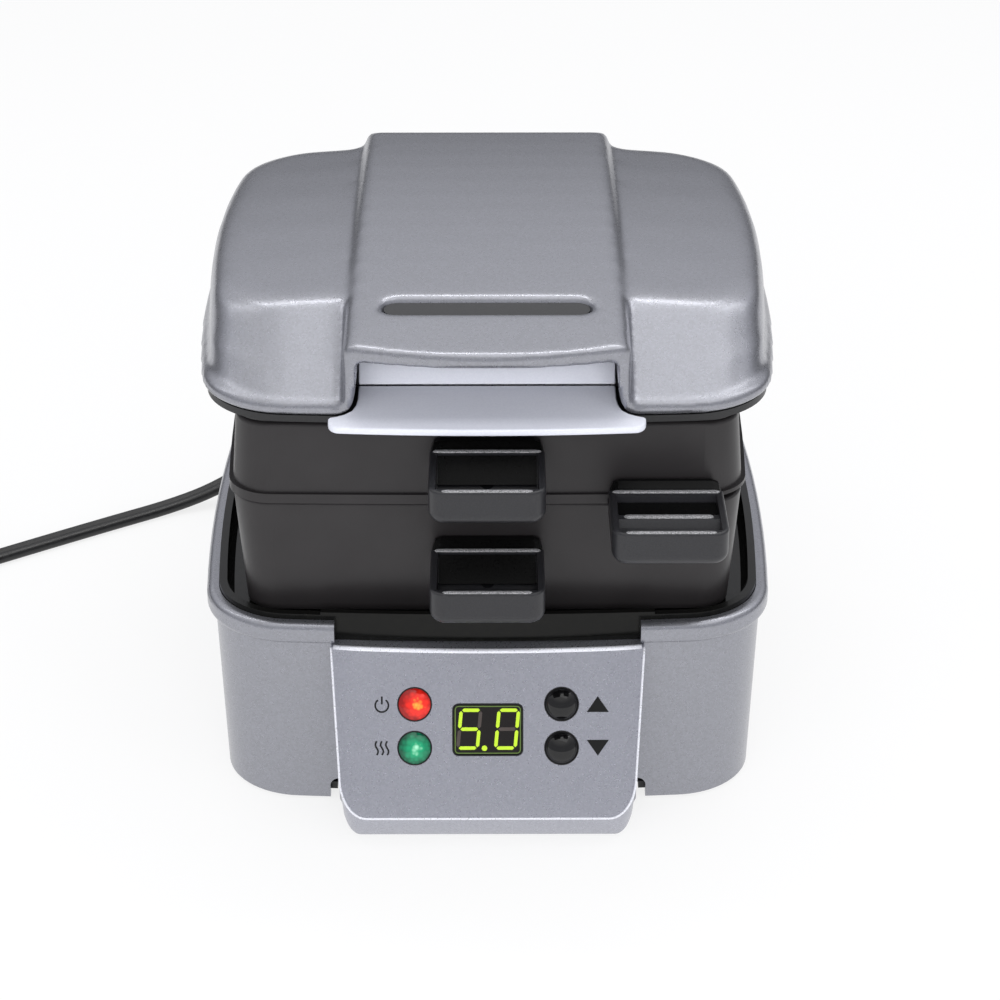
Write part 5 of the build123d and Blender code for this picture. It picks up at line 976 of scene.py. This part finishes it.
satin_paint_and_painted_light = sprayed_silver("satin_silver_and_painted_light", "#CBCDD7", "#D0D2DB", 0.46, 0.1)
tab_tongue = outwards(mesh_piece("tab_tongue", points, faces, satin_paint_and_painted_light, smooth=False))
modify(tab_tongue, "rounded", "BEVEL", width=0.5 * MM, segments=3, angle_limit=math.radians(35))
settled(tab_tongue, satin_paint_and_painted_light)
tab_tongue.data.set_sharp_from_angle(angle=math.radians(50))
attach(tab_tongue, "lid")
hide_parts("lid_tab")

# ---------------------------------------------------------------- black mouldings
# Hinge housing, bottom cover, lid liner, handles and the tray under the rings: heat-proof
# nylon and PBT, satin black with a fine sparked grain that glitters along the edges.
black_moulding = moulded("sparked_black_nylon", "#151516", "#202022", 0.40, 0.45, 0.05)
tray_moulding = moulded("glossy_olive_black_pbt", "#0A0A09", "#0F0F0D", 0.16, 2.0, 0.01, ior=1.3)
handle_moulding = moulded("satin_graphite_phenolic", "#1B1B1E", "#262629", 0.36, 0.4, 0.02)
wears(black_moulding, "hinge_housing", "bottom_cover", "lid_liner")
wears(handle_moulding, "lower_ring_handle", "upper_ring_handle", "plate_handle")
wears(tray_moulding, "base_tray")

# Each handle's neck meets its wall over the full width. Pale bars along the back of its scoop and
# along its front lip are painted highlights for the light these ridges catch, and the scoop holds a
# dark sheet of painted shade.
NECK_RISE = 1.6
GRIP_W = 32.0
GRIP_H = 10.4
GRIP_BACK = 80.0
GRIP_FRONT = 106.0
RING_FRONT = 75.0
SCOOP_HALF_W = 13.6
# Sections of the painted-shade sheets in the scoops, as how far they lie in front of the rings'
# middle and above the grip.
SCOOP_SHADE = [(82.1, 9.4), (82.6, 9.9), (88.4, 3.8), (87.8, 3.3)]
STEP_SHADE = [(83.6, 7.9), (83.6, 8.3), (90.4, 8.3), (90.4, 7.9)]
# How a bar tapers to its ends: places along its half length, with its size there.
BAR_TAPER = ((-1.0, 0.1), (-0.985, 0.5), (-0.95, 0.85), (-0.88, 1.0),
             (0.88, 1.0), (0.95, 0.85), (0.985, 0.5), (1.0, 0.1))
BAR_SIDES = 12
# A darker, less shiny copy of the handle's black, worn by the necks and the scoops' sheets: painted
# shade for the shadow that falls there.
handle_neck = moulded("phenolic_black_painted_shade", "#060606", "#0B0B0B", 0.3, 0.6, 0.01, ior=1.22)
# The bars' pale grey is a painted highlight.
painted_highlight_ridge = moulded("bright_ridge_painted_highlight", "#3C3C3E", "#A4A4A6", 0.34, 0.35, 0.08)


def cross_bar(name, centre_x, half_length, y, z, half_w, half_h):
    """A rounded bar across a handle, in millimetres from the rings' middle."""
    points = [Vector((centre_x + share * half_length, y + STACK_Y + half_w * size * across,
                      z + half_h * size * up)) * MM
              for share, size in BAR_TAPER for across, up in circle(1.0, BAR_SIDES)]
    faces = capped(len(BAR_TAPER), BAR_SIDES)
    return outwards(mesh_piece(name, points, faces, painted_highlight_ridge))


for handle_name, body, centre_x, grip_z, neck_gap, shade_section in (
        ("lower", "lower_ring", 0.0, 73.8, 0.2, SCOOP_SHADE),
        ("upper", "upper_ring", 0.0, 105.1, 0.2, SCOOP_SHADE),
        ("plate", "cooking_plate", 50.0, 92.4, 1.2, STEP_SHADE)):
    half = GRIP_W / 2
    top = grip_z + GRIP_H
    rows = []
    for y, rise, inset in (
            (RING_FRONT + neck_gap, NECK_RISE, 0.6), (RING_FRONT + 2.4, NECK_RISE, 0.4),
            (GRIP_BACK - 0.6, 0.1, 0.1), (GRIP_BACK + 0.8, -0.6, 0.15)):
        wide = half - inset
        rows.append([Vector((centre_x + x, STACK_Y - y, z)) * MM for x, z in (
            (-wide, grip_z + 3.2), (-wide, top + rise - 2.4), (-wide + 0.7, top + rise - 0.7),
            (-wide + 2.4, top + rise), (wide - 2.4, top + rise), (wide - 0.7, top + rise - 0.7),
            (wide, top + rise - 2.4), (wide, grip_z + 3.2))])
    neck = outwards(mesh_piece(handle_name + "_handle_neck", sum(rows, []),
                               capped(len(rows), len(rows[0])), handle_neck, smooth=False))
    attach(neck, body)
    bars = [("_back_ridge", 0.9, -81.0, 0.05, 0.95, 0.5),
            ("_front_ridge", 3.6, 1.1 - GRIP_FRONT, 0.1, 0.75, 0.4),
            ("_lip_line", 4.0, 3.2 - GRIP_FRONT, 0.95, 0.3, 0.3)]
    if shade_section is STEP_SHADE:
        bars.append(("_step_ridge", 3.6, -93.7, 1.15, 1.1, 0.45))
    for bar_name, inset, y, drop, half_w, half_h in bars:
        bar = cross_bar(handle_name + bar_name, centre_x, half - inset, y, top - drop,
                        half_w, half_h)
        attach(bar, body)
    points = [Vector((centre_x + side * SCOOP_HALF_W, STACK_Y - y, grip_z + z)) * MM
              for side in (-1, 1) for y, z in shade_section]
    scoop_painted_shade = outwards(mesh_piece(handle_name + "_scoop_painted_shade", points,
                                      capped(2, len(shade_section)), handle_neck, smooth=False))
    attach(scoop_painted_shade, body)

# ---------------------------------------------------------------- cooking rings and plates
# Die-cast aluminium under a baked non-stick coat: charcoal on the rings, black on the plates,
# with a slight orange peel and a satin shine.


def baked_coat(name, low, high, roughness, peel_mm):
    """Non-stick coat: a soft, faintly uneven film."""
    material, tree, output = new_material(name)
    peel = object_pattern(tree, "ShaderNodeTexNoise", peel_mm, Detail=2.0)
    grain = object_pattern(tree, "ShaderNodeTexNoise", 0.5, Detail=2.0)
    shader = principled(tree, output, Metallic=0.15, IOR=1.45)
    tree.links.new(two_tone(tree, peel.outputs["Fac"], low, high), shader.inputs["Base Color"])
    tree.links.new(spread(tree, grain.outputs["Fac"], roughness - 0.06, roughness + 0.06),
                   shader.inputs["Roughness"])
    bumped(tree, shader, grain.outputs["Fac"], 0.015, 0.3)
    return material


ring_coat = baked_coat("charcoal_baked_coat", "#262425", "#2A2829", 0.34, 14.0)
plate_coat = baked_coat("black_baked_coat", "#222222", "#282828", 0.3, 14.0)
wears(ring_coat, "lower_ring", "upper_ring")
wears(plate_coat, "cooking_plate", "lower_heating_plate", "upper_heating_plate")

# ---------------------------------------------------------------- fasteners and inner parts
# Zinc-plated screws and pins, the sheathed heaters, and the timer board.
plated, tree, output = new_material("zinc_plated_steel")
marks = object_pattern(tree, "ShaderNodeTexNoise", 0.8, Detail=2.0)
shader = principled(tree, output, Metallic=1.0)
tree.links.new(two_tone(tree, marks.outputs["Fac"], "#AEAFB0", "#BFC0C2"),
               shader.inputs["Base Color"])
tree.links.new(spread(tree, marks.outputs["Fac"], 0.24, 0.38), shader.inputs["Roughness"])
wears(plated, "hinge_pin", "cover_screws", "lower_heating_element", "heat_shield",
      "lower_plate_screws", "thermostat", "board_screws", "up_button_spring", "down_button_spring",
      "plate_pivot_pin", "plate_rivets", "lid_screws", "tab_screws", "upper_heating_element",
      "upper_plate_screws")
blacked_steel = moulded("blacked_steel", "#121213", "#1A1A1B", 0.35, 0.6, 0.01)
wears(blacked_steel, "lower_ring_handle_screw", "upper_ring_handle_screw")
solder_mask = polished("green_solder_mask", "#1F5A34", 0.25)
wears(solder_mask, "circuit_board")
